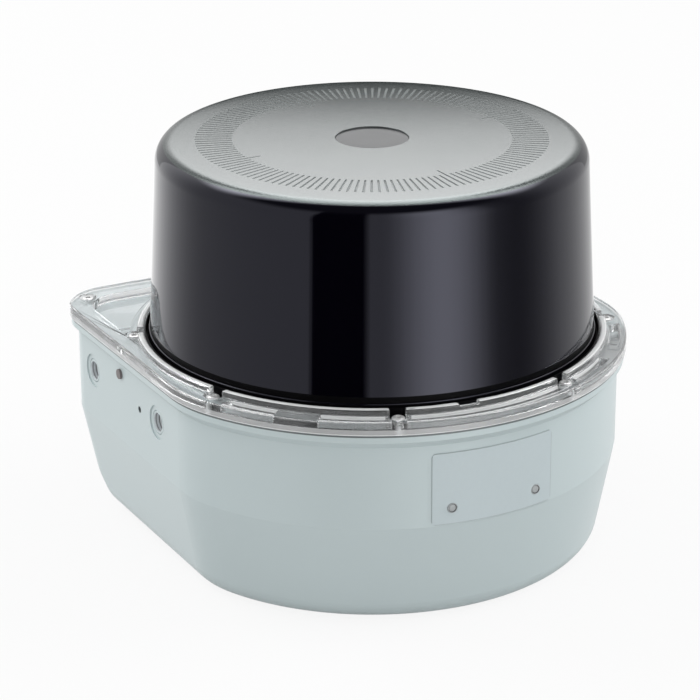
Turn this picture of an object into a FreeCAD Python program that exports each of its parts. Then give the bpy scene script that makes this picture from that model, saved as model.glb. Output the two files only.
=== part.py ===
import FreeCAD, Part
import Sketcher
import math
import os
from types import SimpleNamespace

# Round-front lidar sensor: cast base, clear cover frame, dark optic hood and the spinning mirror inside.
# Millimetres and degrees. +Z is up, the label faces -Y, the scan axis is Z and the underside is z = 0.

doc = FreeCAD.newDocument("LidarSensor")
sheet = doc.addObject("Spreadsheet::Sheet", "Sizes")
vector = FreeCAD.Vector

driving_sizes = {
    # plan outline shared by the base, its cavity and the clear frame
    "front_radius": 75.0,
    "side_flat": 2.8,
    "rear_flat": 5.0,
    "side_blend": 40.0,
    "frame_corner": 15.0,
    # cast base
    "base_height": 60.0,
    "rim_inset": 0.5,
    "rim_height": 2.3,
    "rim_slope": 2.2,
    "wall_inset": 2.5,
    "wall_drop": 29.0,
    "foot_inset": 8.3,
    "foot_corner": 9.0,
    "foot_round": 7.0,
    "wall_thick": 3.0,
    "deck_thick": 6.5,
    "floor_thick": 4.0,
    "cavity_corner": 9.0,
    "cavity_foot_inset": 14.0,
    "cavity_foot_corner": 5.0,
    "slope_margin": 24.0,
    "slope_angle": 42.0,
    "slope_wall": 4.0,
    "slope_reach": 20.0,
    # side mounting threads, vent and locating holes
    "mount_margin": 23.0,
    "mount_pitch": 46.0,
    "mount_drop": 13.7,
    "mount_thread_radius": 2.5,
    "insert_radius": 3.6,
    "insert_length": 9.0,
    "boss_radius": 6.5,
    "boss_floor": 1.8,
    "spot_radius": 5.1,
    "spot_depth": 0.4,
    "vent_offset": 25.6,
    "vent_drop": 7.6,
    "vent_radius": 1.5,
    "vent_proud": 0.7,
    "locator_offset": 12.2,
    "locator_drop": 14.1,
    "locator_radius": 1.0,
    "locator_depth": 1.8,
    # clear cover frame
    "frame_height": 3.8,
    "frame_round": 0.8,
    "frame_band": 7.8,
    "lip_wall": 2.0,
    "lip_height": 5.4,
    "channel_land": 0.8,
    "channel_border": 2.0,
    "channel_floor": 1.5,
    "channel_back": 33.0,
    "pocket_border": 5.6,
    "pocket_rear_border": 8.3,
    "pocket_corner": 11.0,
    "pocket_start": 33.0,
    "pocket_side": 34.0,
    "pocket_floor": 1.4,
    "pocket_clear": 2.2,
    "screw_wall": 1.0,
    "index_angle": -5.6,
    "index_width": 5.8,
    "index_depth": 1.0,
    "window_angle": 45.0,
    "window_width": 12.4,
    # frame screws
    "screw_border": 5.0,
    "screw_first_angle": 22.5,
    "screw_count": 8.0,
    "corner_screw_side": 8.0,
    "corner_screw_rear": 7.4,
    "screw_head_radius": 1.9,
    "screw_head_height": 1.5,
    "screw_sink_radius": 2.6,
    "screw_notch_width": 4.4,
    "screw_radius": 0.98,
    "screw_grip": 4.8,
    "tap_spare": 0.4,
    # optic hood and its seal
    "head_room": 2.65,
    "hood_gap": 1.6,
    "hood_draft": 3.1,
    "hood_wall": 2.6,
    "hood_round": 5.6,
    "hood_inner_round": 3.0,
    "hood_clamp": 0.8,
    "hood_flange_thick": 2.2,
    "hood_bead_width": 0.8,
    "hood_bead_height": 3.4,
    "disc_radius": 10.6,
    "disc_depth": 0.5,
    "seal_border": 0.6,
    "seal_width": 3.0,
    "seal_thick": 1.3,
    "seal_land": 2.4,
    # front label and its two lights
    "label_width": 38.4,
    "label_height": 21.4,
    "label_drop": 7.1,
    "label_thick": 0.3,
    "label_corner": 1.2,
    "light_across": 13.4,
    "light_drop": 23.75,
    "light_radius": 1.45,
    "light_length": 8.0,
    "light_proud": 0.25,
    # rear connectors
    "plug_pitch": 26.0,
    "plug_height": 13.5,
    "plug_rear_radius": 8.0,
    "plug_rear_length": 13.0,
    "plug_flange_radius": 9.5,
    "plug_flange_thick": 2.5,
    "plug_thread_radius": 6.0,
    "plug_thread_length": 7.8,
    "plug_bore": 4.95,
    "socket_bore": 5.5,
    "socket_depth": 7.0,
    "socket_outer": 8.0,
    "socket_length": 5.2,
    "insert_back": 1.0,
    "insert_recess": 6.2,
    "socket_nose_radius": 4.1,
    "socket_nose_recess": 1.2,
    "contact_radius": 0.5,
    "contact_ring_radius": 2.2,
    "contact_length": 5.0,
    "nut_radius": 10.8,
    "nut_thick": 3.0,
    # boards in the base
    "board_seat": 12.0,
    "board_thick": 1.6,
    "board_border": 29.0,
    "board_rear_gap": 34.0,
    "board_screw_border": 9.0,
    "standoff_radius": 3.2,
    "chip_side": 18.0,
    "chip_thick": 2.2,
    "chip_forward": 16.0,
    "header_width": 9.0,
    "header_depth": 5.0,
    "header_height": 6.0,
    "header_border": 6.0,
    "header_pitch": 12.0,
    "capacitor_radius": 4.0,
    "capacitor_height": 10.0,
    "capacitor_border": 16.0,
    "capacitor_pitch": 10.0,
    # scanner chassis with its lens tube
    "chassis_drop": 24.0,
    "chassis_thick": 4.0,
    "chassis_gap": 4.5,
    "post_border": 4.5,
    "post_radius": 4.0,
    "post_screw_radius": 1.95,
    "post_screw_grip": 8.0,
    "post_head_radius": 3.3,
    "post_head_height": 2.2,
    "tube_wall": 5.5,
    "tube_height": 26.0,
    "tube_shoulder_width": 2.5,
    "tube_shoulder_height": 1.5,
    "lens_rim": 4.0,
    "lens_seat_depth": 5.0,
    "lens_edge": 3.0,
    "lens_crown": 3.5,
    "lens_knee_width": 5.6,
    "lens_knee_drop": 1.6,
    "laser_radius": 4.9,
    "laser_collar": 6.4,
    "laser_collar_height": 1.5,
    "laser_length": 14.0,
    "detector_board_border": 9.5,
    "detector_radius": 4.6,
    "detector_height": 4.2,
    "detector_screw_border": 5.5,
    "detector_screw_radius": 1.2,
    "detector_screw_grip": 3.0,
    "detector_head_radius": 2.2,
    "detector_head_height": 1.5,
    # bearings
    "bearing_section": 8.0,
    "bearing_width": 7.0,
    "bearing_ring": 2.5,
    "bearing_shield": 0.5,
    "bearing_spread": 4.5,
    "retainer_wall": 2.3,
    "retainer_thick": 1.2,
    # motor
    "stator_seat_height": 3.0,
    "stator_yoke": 3.5,
    "stator_height": 10.0,
    "tooth_count": 12.0,
    "tooth_length": 6.85,
    "tooth_width": 6.0,
    "air_gap": 0.6,
    "coil_start": 2.2,
    "coil_length": 3.8,
    "coil_build": 2.1,
    "magnet_thick": 3.0,
    "magnet_height": 11.0,
    # spinning head
    "hub_lift": 0.7,
    "hub_wall": 2.95,
    "hub_flange_drop": 3.0,
    "hub_flange_width": 6.0,
    "hub_flange_thick": 2.5,
    "hub_neck_step": 1.0,
    "hub_rise": 6.0,
    "hub_eye_gap": 4.0,
    "hub_roof_gap": 0.6,
    "encoder_over": 1.0,
    "encoder_thick": 0.8,
    "encoder_slot_count": 36.0,
    "encoder_slot_border": 2.5,
    "encoder_slot_length": 2.4,
    "encoder_slot_width": 2.6,
    "reader_border": 1.5,
    "reader_spine": 6.0,
    "reader_bite": 4.0,
    "reader_clear": 1.2,
    "reader_jaw": 3.2,
    "reader_width": 8.0,
    "carrier_thick": 4.0,
    "carrier_eye_gap": 1.0,
    "cheek_gap": 2.0,
    "cheek_thick": 4.0,
    "cheek_tail": 4.0,
    "cheek_front": 8.0,
    "back_plate_thick": 4.0,
    "back_plate_over": 6.0,
    "mirror_tilt": 45.0,
    "mirror_spare": 3.5,
    "mirror_thick": 3.0,
    "carrier_screw_border": 4.0,
    "carrier_screw_angle": 60.0,
    "carrier_screw_radius": 1.4,
    "carrier_screw_grip": 4.4,
    "carrier_head_radius": 2.6,
    "carrier_head_height": 2.0,
    "weight_depth": 5.0,
    "weight_height": 5.0,
    "weight_width": 30.0,
    # clearances
    "slip_fit": 0.05,
    "hole_fit": 0.25,
    "running_fit": 0.05,
    "overlap": 1.0,
}

for row, (alias, number) in enumerate(driving_sizes.items(), start=1):
    sheet.set(f"A{row}", alias)
    sheet.set(f"B{row}", str(number))
    sheet.setAlias(f"B{row}", alias)
doc.recompute()


class Size:
    """A number together with the sheet expression that gives it."""

    def __init__(self, value, text):
        self.value = value
        self.text = text

    def __add__(self, other):
        other = as_size(other)
        return Size(self.value + other.value, f"({self.text} + {other.text})")

    def __sub__(self, other):
        other = as_size(other)
        return Size(self.value - other.value, f"({self.text} - {other.text})")

    def __rsub__(self, other):
        return as_size(other) - self

    def __mul__(self, other):
        other = as_size(other)
        return Size(self.value * other.value, f"({self.text} * {other.text})")

    def __truediv__(self, other):
        other = as_size(other)
        return Size(self.value / other.value, f"({self.text} / {other.text})")

    def __rtruediv__(self, other):
        return as_size(other) / self

    def __neg__(self):
        return as_size(0) - self

    __radd__ = __add__
    __rmul__ = __mul__


def as_size(item):
    return item if isinstance(item, Size) else Size(float(item), str(float(item)))


def cosine(angle):
    angle = as_size(angle)
    return Size(math.cos(math.radians(angle.value)), f"cos({angle.text})")


def sine(angle):
    angle = as_size(angle)
    return Size(math.sin(math.radians(angle.value)), f"sin({angle.text})")


def tangent(angle):
    return sine(angle) / cosine(angle)


def root(item):
    return Size(math.sqrt(item.value), f"sqrt({item.text})")


def polar(radius, angle):
    return radius * cosine(angle), radius * sine(angle)


def from_front(radius, angle, across=0):
    """Place on a circle, or beside it, with the angle counted from the front (-Y) towards +X."""
    return radius * sine(angle) + across * cosine(angle), across * sine(angle) - radius * cosine(angle)


dim = SimpleNamespace(**{alias: Size(number, f"Sizes.{alias}") for alias, number in driving_sizes.items()})

# Sizes that follow from the driving ones, from the outside inwards and from the base upwards

dim.half_width = dim.front_radius - dim.side_flat
dim.rear_reach = dim.front_radius - dim.rear_flat
dim.taper_height = dim.base_height - dim.wall_drop
dim.slope_foot = dim.rear_reach - dim.slope_margin
dim.mount_first = dim.rear_reach - dim.mount_margin - dim.mount_pitch
dim.vent_along = dim.mount_first + dim.vent_offset
dim.locator_along = dim.mount_first + dim.locator_offset

dim.lip_radius = dim.front_radius - dim.frame_band
dim.channel_inner = dim.lip_radius + dim.lip_wall + dim.channel_land
dim.channel_outer = dim.front_radius - dim.channel_border
dim.screw_ring = dim.front_radius - dim.screw_border
dim.corner_screw_across = dim.half_width - dim.corner_screw_side
dim.corner_screw_along = dim.rear_reach - dim.corner_screw_rear
dim.hood_foot_radius = dim.lip_radius - dim.hood_gap
dim.hood_top_radius = dim.hood_foot_radius - dim.hood_draft
dim.hood_bead_radius = dim.hood_foot_radius + dim.hood_bead_width
dim.hood_flange_radius = dim.lip_radius + dim.hood_clamp
dim.screw_floor = dim.hood_flange_thick + dim.slip_fit
dim.seal_outer = dim.hood_flange_radius - dim.seal_border
dim.seal_inner = dim.seal_outer - dim.seal_width
dim.opening_radius = dim.seal_inner - dim.seal_land

dim.board_radius = dim.front_radius - dim.board_border
dim.board_flat = dim.rear_reach - dim.board_rear_gap
dim.board_screw_ring = dim.board_radius - dim.board_screw_border
dim.header_along = dim.board_flat - dim.header_border
dim.capacitor_across = dim.board_radius - dim.capacitor_border
dim.insert_body_radius = dim.plug_bore - dim.slip_fit

dim.chassis_radius = dim.opening_radius - dim.chassis_gap
dim.post_ring = dim.chassis_radius - dim.post_border
dim.reader_back = dim.chassis_radius - dim.reader_border
dim.encoder_radius = dim.reader_back - dim.reader_spine
dim.reader_reach = dim.encoder_radius - dim.reader_bite
dim.encoder_slot_ring = dim.encoder_radius - dim.encoder_slot_border
dim.stator_radius = dim.encoder_radius - dim.encoder_over
dim.stator_bore = dim.stator_radius - dim.stator_yoke - dim.tooth_length
dim.hub_radius = dim.stator_bore - dim.air_gap - dim.magnet_thick - dim.slip_fit
dim.hub_flange_radius = dim.hub_radius + dim.hub_flange_width
dim.hub_neck_radius = dim.hub_radius + dim.hub_neck_step
dim.bearing_radius = dim.hub_radius - dim.hub_wall - dim.running_fit
dim.tube_radius = dim.bearing_radius - dim.bearing_section
dim.tube_bore = dim.tube_radius - dim.tube_wall
dim.tube_shoulder_radius = dim.tube_radius + dim.tube_shoulder_width
dim.retainer_radius = dim.tube_radius + dim.retainer_wall
dim.hub_eye = dim.tube_radius + dim.hub_eye_gap
dim.lens_radius = dim.tube_radius - dim.lens_rim
dim.detector_board_radius = dim.tube_bore + dim.detector_board_border
dim.detector_screw_ring = dim.tube_bore + dim.detector_screw_border
dim.mirror_radius = dim.tube_bore + dim.mirror_spare
dim.carrier_eye = dim.mirror_radius + dim.carrier_eye_gap
dim.cheek_inner = dim.mirror_radius + dim.cheek_gap
dim.cheek_rear = dim.mirror_radius + dim.cheek_tail
dim.carrier_screw_ring = dim.hub_neck_radius - dim.carrier_screw_border
dim.weight_radius = dim.hub_neck_radius + dim.weight_depth

dim.chassis_seat = dim.base_height - dim.chassis_drop
chassis_top = dim.chassis_seat + dim.chassis_thick
lower_bearing_base = chassis_top + dim.tube_shoulder_height
upper_bearing_base = lower_bearing_base + dim.bearing_width + dim.bearing_spread
bearing_top = upper_bearing_base + dim.bearing_width
dim.magnet_base = chassis_top + dim.stator_seat_height
dim.hub_base = lower_bearing_base + dim.hub_lift
dim.hub_flange_base = bearing_top - dim.hub_flange_drop
dim.hub_height = bearing_top + dim.hub_rise
carrier_top = dim.hub_height + dim.carrier_thick
dim.mirror_height = carrier_top + dim.mirror_radius * tangent(dim.mirror_tilt)
dim.back_plate_length = 2 * (dim.mirror_radius + dim.back_plate_over)
back_plate_depth = dim.mirror_thick + dim.back_plate_thick
back_plate_rise = (dim.back_plate_length / 2 * sine(dim.mirror_tilt)
                   + back_plate_depth * cosine(dim.mirror_tilt))
hood_top = dim.mirror_height + back_plate_rise + dim.head_room + dim.hood_wall


# Helpers for bound objects

def bind(obj, path, item):
    obj.setExpression(path, as_size(item).text)


def place(obj, x=0, y=0, z=0, axis=None, angle=None):
    if axis is not None:
        obj.Placement = FreeCAD.Placement(vector(), FreeCAD.Rotation(axis, as_size(angle).value))
        bind(obj, "Placement.Rotation.Angle", angle)
    for letter, item in zip("xyz", (x, y, z)):
        bind(obj, f"Placement.Base.{letter}", item)
    return obj


def cylinder(name, radius, height, **where):
    obj = doc.addObject("Part::Cylinder", name)
    bind(obj, "Radius", radius)
    bind(obj, "Height", height)
    return place(obj, **where)


def block(name, x_span, y_span, z_span):
    """Box between two values on each axis."""
    obj = doc.addObject("Part::Box", name)
    for side, (low, high) in zip(("Length", "Width", "Height"), (x_span, y_span, z_span)):
        bind(obj, side, as_size(high) - low)
    return place(obj, x_span[0], y_span[0], z_span[0])


def ring_block(name, radius_span, angle, width, z_span):
    """Box square to the ring's radius at an angle from the front."""
    inside, outside = radius_span
    low, high = z_span
    obj = doc.addObject("Part::Box", name)
    bind(obj, "Length", width)
    bind(obj, "Width", outside - inside)
    bind(obj, "Height", high - low)
    x, y = from_front(outside, angle, width / -2)
    return place(obj, x, y, low, axis=vector(0, 0, 1), angle=angle)


def cut(name, base, *tools):
    tool = tools[0] if len(tools) == 1 else fuse(name + "_tools", *tools)
    obj = doc.addObject("Part::Cut", name)
    obj.Base = base
    obj.Tool = tool
    return obj


def fuse(name, *shapes):
    obj = doc.addObject("Part::MultiFuse", name)
    obj.Shapes = list(shapes)
    return obj


def common(name, *shapes):
    obj = doc.addObject("Part::MultiCommon", name)
    obj.Shapes = list(shapes)
    return obj


def group(name, members):
    obj = doc.addObject("Part::Compound", name)
    obj.Links = list(members)
    return obj


def tube(name, outer, inner, height, z=0):
    outside = cylinder(name + "_outer", outer, height, z=z)
    return cut(name, outside, cylinder(name + "_inner", inner, height, z=z))


# Helpers for bodies and sketches

def new_body(name):
    return doc.addObject("PartDesign::Body", name)


def sketch_on(body, name, role, offset=None):
    sketch = body.newObject("Sketcher::SketchObject", name)
    plane = next(feature for feature in body.Origin.OriginFeatures if feature.Role == role)
    sketch.AttachmentSupport = [(plane, "")]
    sketch.MapMode = "FlatFace"
    if offset is not None:
        bind(sketch, "AttachmentOffset.Base.z", offset)
    return sketch


def drive(sketch, item, kind, *where):
    index = sketch.addConstraint(Sketcher.Constraint(kind, *where, as_size(item).value))
    bind(sketch, f"Constraints[{index}]", item)


def pin(sketch, geometry, position, x, y):
    """Hold one point of a sketch at a bound place from the sketch's origin."""
    for item, kind, axis in ((as_size(x), "DistanceX", -2), (as_size(y), "DistanceY", -1)):
        if item.value == 0:
            sketch.addConstraint(Sketcher.Constraint("PointOnObject", geometry, position, axis))
        else:
            drive(sketch, item, kind, -1, 1, geometry, position)


def polygon(sketch, corners):
    points = [vector(as_size(x).value, as_size(y).value, 0) for x, y in corners]
    count = len(points)
    first = sketch.GeometryCount
    for index in range(count):
        sketch.addGeometry(Part.LineSegment(points[index], points[(index + 1) % count]), False)
    for index in range(count):
        following = first + (index + 1) % count
        sketch.addConstraint(Sketcher.Constraint("Coincident", first + index, 2, following, 1))
    for index, (x, y) in enumerate(corners):
        pin(sketch, first + index, 1, x, y)


def circle(sketch, radius, x=0, y=0):
    centre = vector(as_size(x).value, as_size(y).value, 0)
    index = sketch.addGeometry(Part.Circle(centre, vector(0, 0, 1), as_size(radius).value), False)
    drive(sketch, radius, "Radius", index)
    pin(sketch, index, 3, x, y)


def round_front(sketch, inset, corner=None):
    """Plan outline at one inset: front arc, blends, straight sides and rounded rear corners, all tangent."""
    corner = dim.frame_corner - inset if corner is None else corner
    radius, half, rear, blend = (size - inset for size in
                                 (dim.front_radius, dim.half_width, dim.rear_reach, dim.side_blend))
    r, w, y, b, c = (size.value for size in (radius, half, rear, blend, as_size(corner)))
    drop = math.sqrt((r - b) ** 2 - (w - b) ** 2)
    turn = math.atan2(drop, w - b)

    def arc(centre_x, centre_y, arc_radius, start, end):
        ring = Part.Circle(vector(centre_x, centre_y, 0), vector(0, 0, 1), arc_radius)
        return Part.ArcOfCircle(ring, start, end)

    def line(start_x, start_y, end_x, end_y):
        return Part.LineSegment(vector(start_x, start_y, 0), vector(end_x, end_y, 0))

    pieces = [
        arc(0, 0, r, math.pi + turn, 2 * math.pi - turn),
        arc(w - b, -drop, b, -turn, 0),
        line(w, -drop, w, y - c),
        arc(w - c, y - c, c, 0, math.pi / 2),
        line(w - c, y, c - w, y),
        arc(c - w, y - c, c, math.pi / 2, math.pi),
        line(-w, y - c, -w, -drop),
        arc(b - w, -drop, b, math.pi, math.pi + turn),
    ]
    (front, right_blend, right_side, right_corner,
     back, left_corner, left_side, left_blend) = range(len(pieces))
    for piece in pieces:
        sketch.addGeometry(piece, False)
    for index in range(len(pieces)):
        sketch.addConstraint(Sketcher.Constraint("Tangent", index, 2, (index + 1) % len(pieces), 1))
    sketch.addConstraint(Sketcher.Constraint("Coincident", front, 3, -1, 1))
    sketch.addConstraint(Sketcher.Constraint("Equal", right_blend, left_blend))
    sketch.addConstraint(Sketcher.Constraint("Equal", right_corner, left_corner))
    sketch.addConstraint(Sketcher.Constraint("Vertical", right_side))
    sketch.addConstraint(Sketcher.Constraint("Vertical", left_side))
    sketch.addConstraint(Sketcher.Constraint("Symmetric", back, 1, back, 2, -2))
    drive(sketch, radius, "Radius", front)
    drive(sketch, blend, "Radius", right_blend)
    drive(sketch, corner, "Radius", right_corner)
    drive(sketch, half, "DistanceX", -1, 1, right_side, 1)
    drive(sketch, rear, "DistanceY", -1, 1, back, 1)


def pad(body, name, sketch, length, midplane=False, reverse=False):
    feature = body.newObject("PartDesign::Pad", name)
    feature.Profile = sketch
    feature.Midplane = midplane
    feature.Reversed = reverse
    bind(feature, "Length", length)
    return feature


def pocket(body, name, sketch, length, midplane=False, reverse=False):
    """Cut a sketch into the body, and stop if nothing was removed."""
    doc.recompute()
    before = body.Shape.Volume
    feature = body.newObject("PartDesign::Pocket", name)
    feature.Profile = sketch
    feature.Midplane = midplane
    feature.Reversed = reverse
    bind(feature, "Length", length)
    doc.recompute()
    if body.Shape.Volume >= before:
        raise RuntimeError(f"{name} removes nothing")
    return feature


def loft(body, name, kind, start, end):
    feature = body.newObject(f"PartDesign::{kind}Loft", name)
    feature.Profile = start
    feature.Sections = [end]
    feature.Ruled = True
    return feature


def around(body, name, feature, count):
    """Copies of a feature spaced evenly round the scan axis."""
    pattern = body.newObject("PartDesign::PolarPattern", name)
    pattern.Originals = [feature]
    pattern.Axis = (next(axis for axis in body.Origin.OriginFeatures if axis.Role == "Z_Axis"), [""])
    pattern.Angle = full_turn
    bind(pattern, "Occurrences", count)
    body.Tip = pattern
    return pattern


def both_sides(body, name, *features):
    mirror = body.newObject("PartDesign::Mirrored", name)
    mirror.Originals = list(features)
    middle = next(plane for plane in body.Origin.OriginFeatures if plane.Role == "YZ_Plane")
    mirror.MirrorPlane = (middle, [""])
    body.Tip = mirror
    return mirror


def fillet(body, name, base, radius, chosen):
    """Round the edges of a feature for which chosen is true."""
    doc.recompute()
    edges = [f"Edge{number}" for number, edge in enumerate(base.Shape.Edges, start=1) if chosen(edge)]
    feature = body.newObject("PartDesign::Fillet", name)
    feature.Base = (base, edges)
    bind(feature, "Radius", radius)
    return feature


def turned(name, corners):
    """Body of revolution about its own Z, from corners given as radius and height."""
    body = new_body(name)
    sketch = sketch_on(body, name + "_section", "XZ_Plane")
    polygon(sketch, corners)
    feature = body.newObject("PartDesign::Revolution", name + "_turned")
    feature.Profile = sketch
    feature.ReferenceAxis = (sketch, ["V_Axis"])
    feature.Angle = full_turn
    return body


def level(edge, height):
    box = edge.BoundBox
    return abs(box.ZMin - height.value) < 1e-6 and abs(box.ZMax - height.value) < 1e-6


def ring_edge(edge, radius, height):
    round_one = level(edge, height) and isinstance(edge.Curve, Part.Circle)
    return round_one and abs(edge.Curve.Radius - radius.value) < 1e-6


def pan_screw(name, head_radius, head_height, radius, length, x, y, seat, head_up=True):
    """Head on its seat with a plain shank on the other side of it."""
    head_base = seat if head_up else seat - head_height
    shank_base = seat - length if head_up else seat
    head = cylinder(name + "_head", head_radius, head_height, x=x, y=y, z=head_base)
    shank = cylinder(name + "_shank", radius, length, x=x, y=y, z=shank_base)
    return fuse(name, head, shank)


# Places shared by several pieces

wall_half = dim.half_width - dim.wall_inset
wall_radius = dim.front_radius - dim.wall_inset
cavity_inset = dim.wall_inset + dim.wall_thick
deck_under = dim.base_height - dim.deck_thick
frame_top = dim.base_height + dim.frame_height
screw_seat = dim.base_height + dim.screw_floor
mount_height = dim.base_height - dim.mount_drop
mount_rows = (dim.mount_first, dim.mount_first + dim.mount_pitch)
light_height = dim.base_height - dim.light_drop
quarter = 45.0
quarter_count = 4
nut_sides = 6
full_turn = 360.0

ring_screw_angles = [dim.screw_first_angle + full_turn / dim.screw_count * step
                     for step in range(int(driving_sizes["screw_count"]))]
frame_screw_places = [from_front(dim.screw_ring, angle) for angle in ring_screw_angles]
frame_screw_places += [(side * dim.corner_screw_across, dim.corner_screw_along) for side in (-1, 1)]


def slope_point(depth, x):
    """Place on a connector's axis, the given depth behind the sloping face, turned to face outwards."""
    plug_along = dim.slope_foot + dim.plug_height * tangent(dim.slope_angle)
    along = plug_along - depth * cosine(dim.slope_angle)
    height = dim.plug_height + depth * sine(dim.slope_angle)
    return dict(x=x, y=along, z=height, axis=vector(-1, 0, 0), angle=90 + dim.slope_angle)


connector_places = {"power": -1 * dim.plug_pitch, "signal": as_size(0), "data": dim.plug_pitch}


# Cast base: round-front shell with a rim, a tapered foot, a sloping connector wall, posts and bosses

def make_base():
    body = new_body("base_casting")
    wall = sketch_on(body, "wall_plan", "XY_Plane", dim.taper_height)
    round_front(wall, dim.wall_inset)
    foot = sketch_on(body, "foot_plan", "XY_Plane")
    round_front(foot, dim.foot_inset, dim.foot_corner)
    rim_base = dim.base_height - dim.rim_height
    rim = sketch_on(body, "rim_plan", "XY_Plane", rim_base)
    round_front(rim, dim.rim_inset)
    under_rim = sketch_on(body, "under_rim_plan", "XY_Plane", rim_base - dim.rim_slope)
    round_front(under_rim, dim.wall_inset)
    pad(body, "upper_wall", wall, dim.base_height - dim.taper_height)
    loft(body, "tapered_foot", "Additive", wall, foot)
    loft(body, "rim_flare", "Additive", under_rim, rim)
    pad(body, "rim", rim, dim.rim_height)

    inner = sketch_on(body, "cavity_plan", "XY_Plane", deck_under)
    round_front(inner, cavity_inset, dim.cavity_corner)
    pocket(body, "upper_cavity", inner, deck_under - dim.taper_height)
    inner_waist = sketch_on(body, "cavity_waist_plan", "XY_Plane", dim.taper_height)
    round_front(inner_waist, cavity_inset, dim.cavity_corner)
    inner_foot = sketch_on(body, "cavity_foot_plan", "XY_Plane", dim.floor_thick)
    round_front(inner_foot, dim.cavity_foot_inset, dim.cavity_foot_corner)
    loft(body, "lower_cavity", "Subtractive", inner_waist, inner_foot)

    # the sloping wall is laid in thick, then the wedge behind it is cut away
    run = tangent(dim.slope_angle)
    inside = dim.slope_wall / cosine(dim.slope_angle)
    low = dim.floor_thick / 2
    slab = sketch_on(body, "slope_wall_section", "YZ_Plane")
    polygon(slab, [(dim.slope_foot + low * run - inside, low), (dim.slope_foot + low * run, low),
                   (dim.slope_foot + dim.slope_reach * run, dim.slope_reach),
                   (dim.slope_foot + dim.slope_reach * run - inside, dim.slope_reach)])
    pad(body, "slope_wall", slab, 2 * (dim.half_width - dim.foot_inset - dim.overlap), midplane=True)
    wedge = sketch_on(body, "wedge_section", "YZ_Plane")
    polygon(wedge, [(dim.slope_foot - dim.overlap * run, -dim.overlap),
                    (dim.slope_foot + dim.taper_height * run, dim.taper_height),
                    (dim.slope_foot + dim.rear_reach, dim.taper_height),
                    (dim.slope_foot + dim.rear_reach, -dim.overlap)])
    cut_wedge = pocket(body, "wedge", wedge, 2 * dim.front_radius, midplane=True)
    fillet(body, "foot_edge", cut_wedge, dim.foot_round,
           lambda edge: level(edge, as_size(0)) and edge.CenterOfMass.y < dim.slope_foot.value - 1e-3)

    opening = sketch_on(body, "opening_plan", "XY_Plane", dim.base_height)
    circle(opening, dim.opening_radius)
    pocket(body, "opening", opening, dim.deck_thick + dim.overlap)
    groove = sketch_on(body, "seal_groove_plan", "XY_Plane", dim.base_height)
    circle(groove, dim.seal_outer + dim.slip_fit)
    circle(groove, dim.seal_inner - dim.slip_fit)
    pocket(body, "seal_groove", groove, dim.seal_thick)
    taps = sketch_on(body, "frame_tap_plan", "XY_Plane", dim.base_height)
    for x, y in frame_screw_places:
        circle(taps, dim.screw_radius + dim.slip_fit, x, y)
    pocket(body, "frame_taps", taps, dim.screw_grip + dim.tap_spare)

    for name, spread, radius, top, tap, depth in (
            ("post", dim.post_ring, dim.post_radius, dim.chassis_seat, dim.post_screw_radius,
             dim.post_screw_grip),
            ("standoff", dim.board_screw_ring, dim.standoff_radius, dim.board_seat, dim.screw_radius,
             dim.screw_grip)):
        x, y = polar(spread, quarter)
        plan = sketch_on(body, name + "_plan", "XY_Plane", dim.floor_thick - dim.overlap)
        circle(plan, radius, x, y)
        first = pad(body, name, plan, top - dim.floor_thick + dim.overlap)
        around(body, name + "s", first, quarter_count)
        tap_plan = sketch_on(body, name + "_tap_plan", "XY_Plane", top)
        circle(tap_plan, tap + dim.slip_fit, x, y)
        first_tap = pocket(body, name + "_tap", tap_plan, depth + dim.tap_spare)
        around(body, name + "_taps", first_tap, quarter_count)

    # threaded side mounts: inner boss, bore for the insert and a shallow spot face
    boss_length = dim.spot_depth + dim.insert_length + dim.boss_floor
    bosses = sketch_on(body, "boss_plan", "YZ_Plane", -(wall_half - dim.wall_thick / 2))
    bores = sketch_on(body, "insert_bore_plan", "YZ_Plane", -(wall_half - dim.spot_depth))
    spots = sketch_on(body, "spot_plan", "YZ_Plane", -wall_half)
    for row in mount_rows:
        circle(bosses, dim.boss_radius, row, mount_height)
        circle(bores, dim.insert_radius + dim.slip_fit, row, mount_height)
        circle(spots, dim.spot_radius, row, mount_height)
    boss = pad(body, "bosses", bosses, boss_length - dim.wall_thick / 2)
    both_sides(body, "bosses_both", boss)
    bore = pocket(body, "insert_bores", bores, dim.insert_length, reverse=True)
    both_sides(body, "insert_bores_both", bore)
    spot = pocket(body, "spots", spots, dim.spot_depth, reverse=True)
    both_sides(body, "spots_both", spot)
    locator = sketch_on(body, "locator_plan", "YZ_Plane", -wall_half)
    circle(locator, dim.locator_radius, dim.locator_along, dim.base_height - dim.locator_drop)
    locating = pocket(body, "locator", locator, dim.locator_depth, reverse=True)
    both_sides(body, "locators", locating)
    vent = sketch_on(body, "vent_plan", "YZ_Plane", -wall_half)
    circle(vent, dim.vent_radius + dim.slip_fit, dim.vent_along, dim.base_height - dim.vent_drop)
    pocket(body, "vent", vent, dim.wall_thick + dim.overlap, reverse=True)

    lights = sketch_on(body, "light_plan", "XZ_Plane")
    for side in (-1, 1):
        circle(lights, dim.light_radius + dim.slip_fit, side * dim.light_across, light_height)
    pocket(body, "light_holes", lights, dim.front_radius, reverse=True)

    holes = [cylinder(f"{name}_hole", dim.plug_rear_radius + dim.slip_fit, dim.slope_wall + 2 * dim.overlap,
                      **slope_point(dim.slope_wall + dim.overlap, x))
             for name, x in connector_places.items()]
    # turning room for each lock nut behind the slope
    nut_rooms = [cylinder(f"{name}_nut_room", dim.nut_radius + dim.hole_fit, dim.nut_thick + dim.overlap,
                          **slope_point(dim.slope_wall + dim.nut_thick + dim.overlap, x))
                 for name, x in connector_places.items()]
    return cut("base_housing", body, *holes, *nut_rooms)


# Clear cover frame: moulded plate with a raised inner lip, screw sinks, front channels and corner pockets

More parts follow.
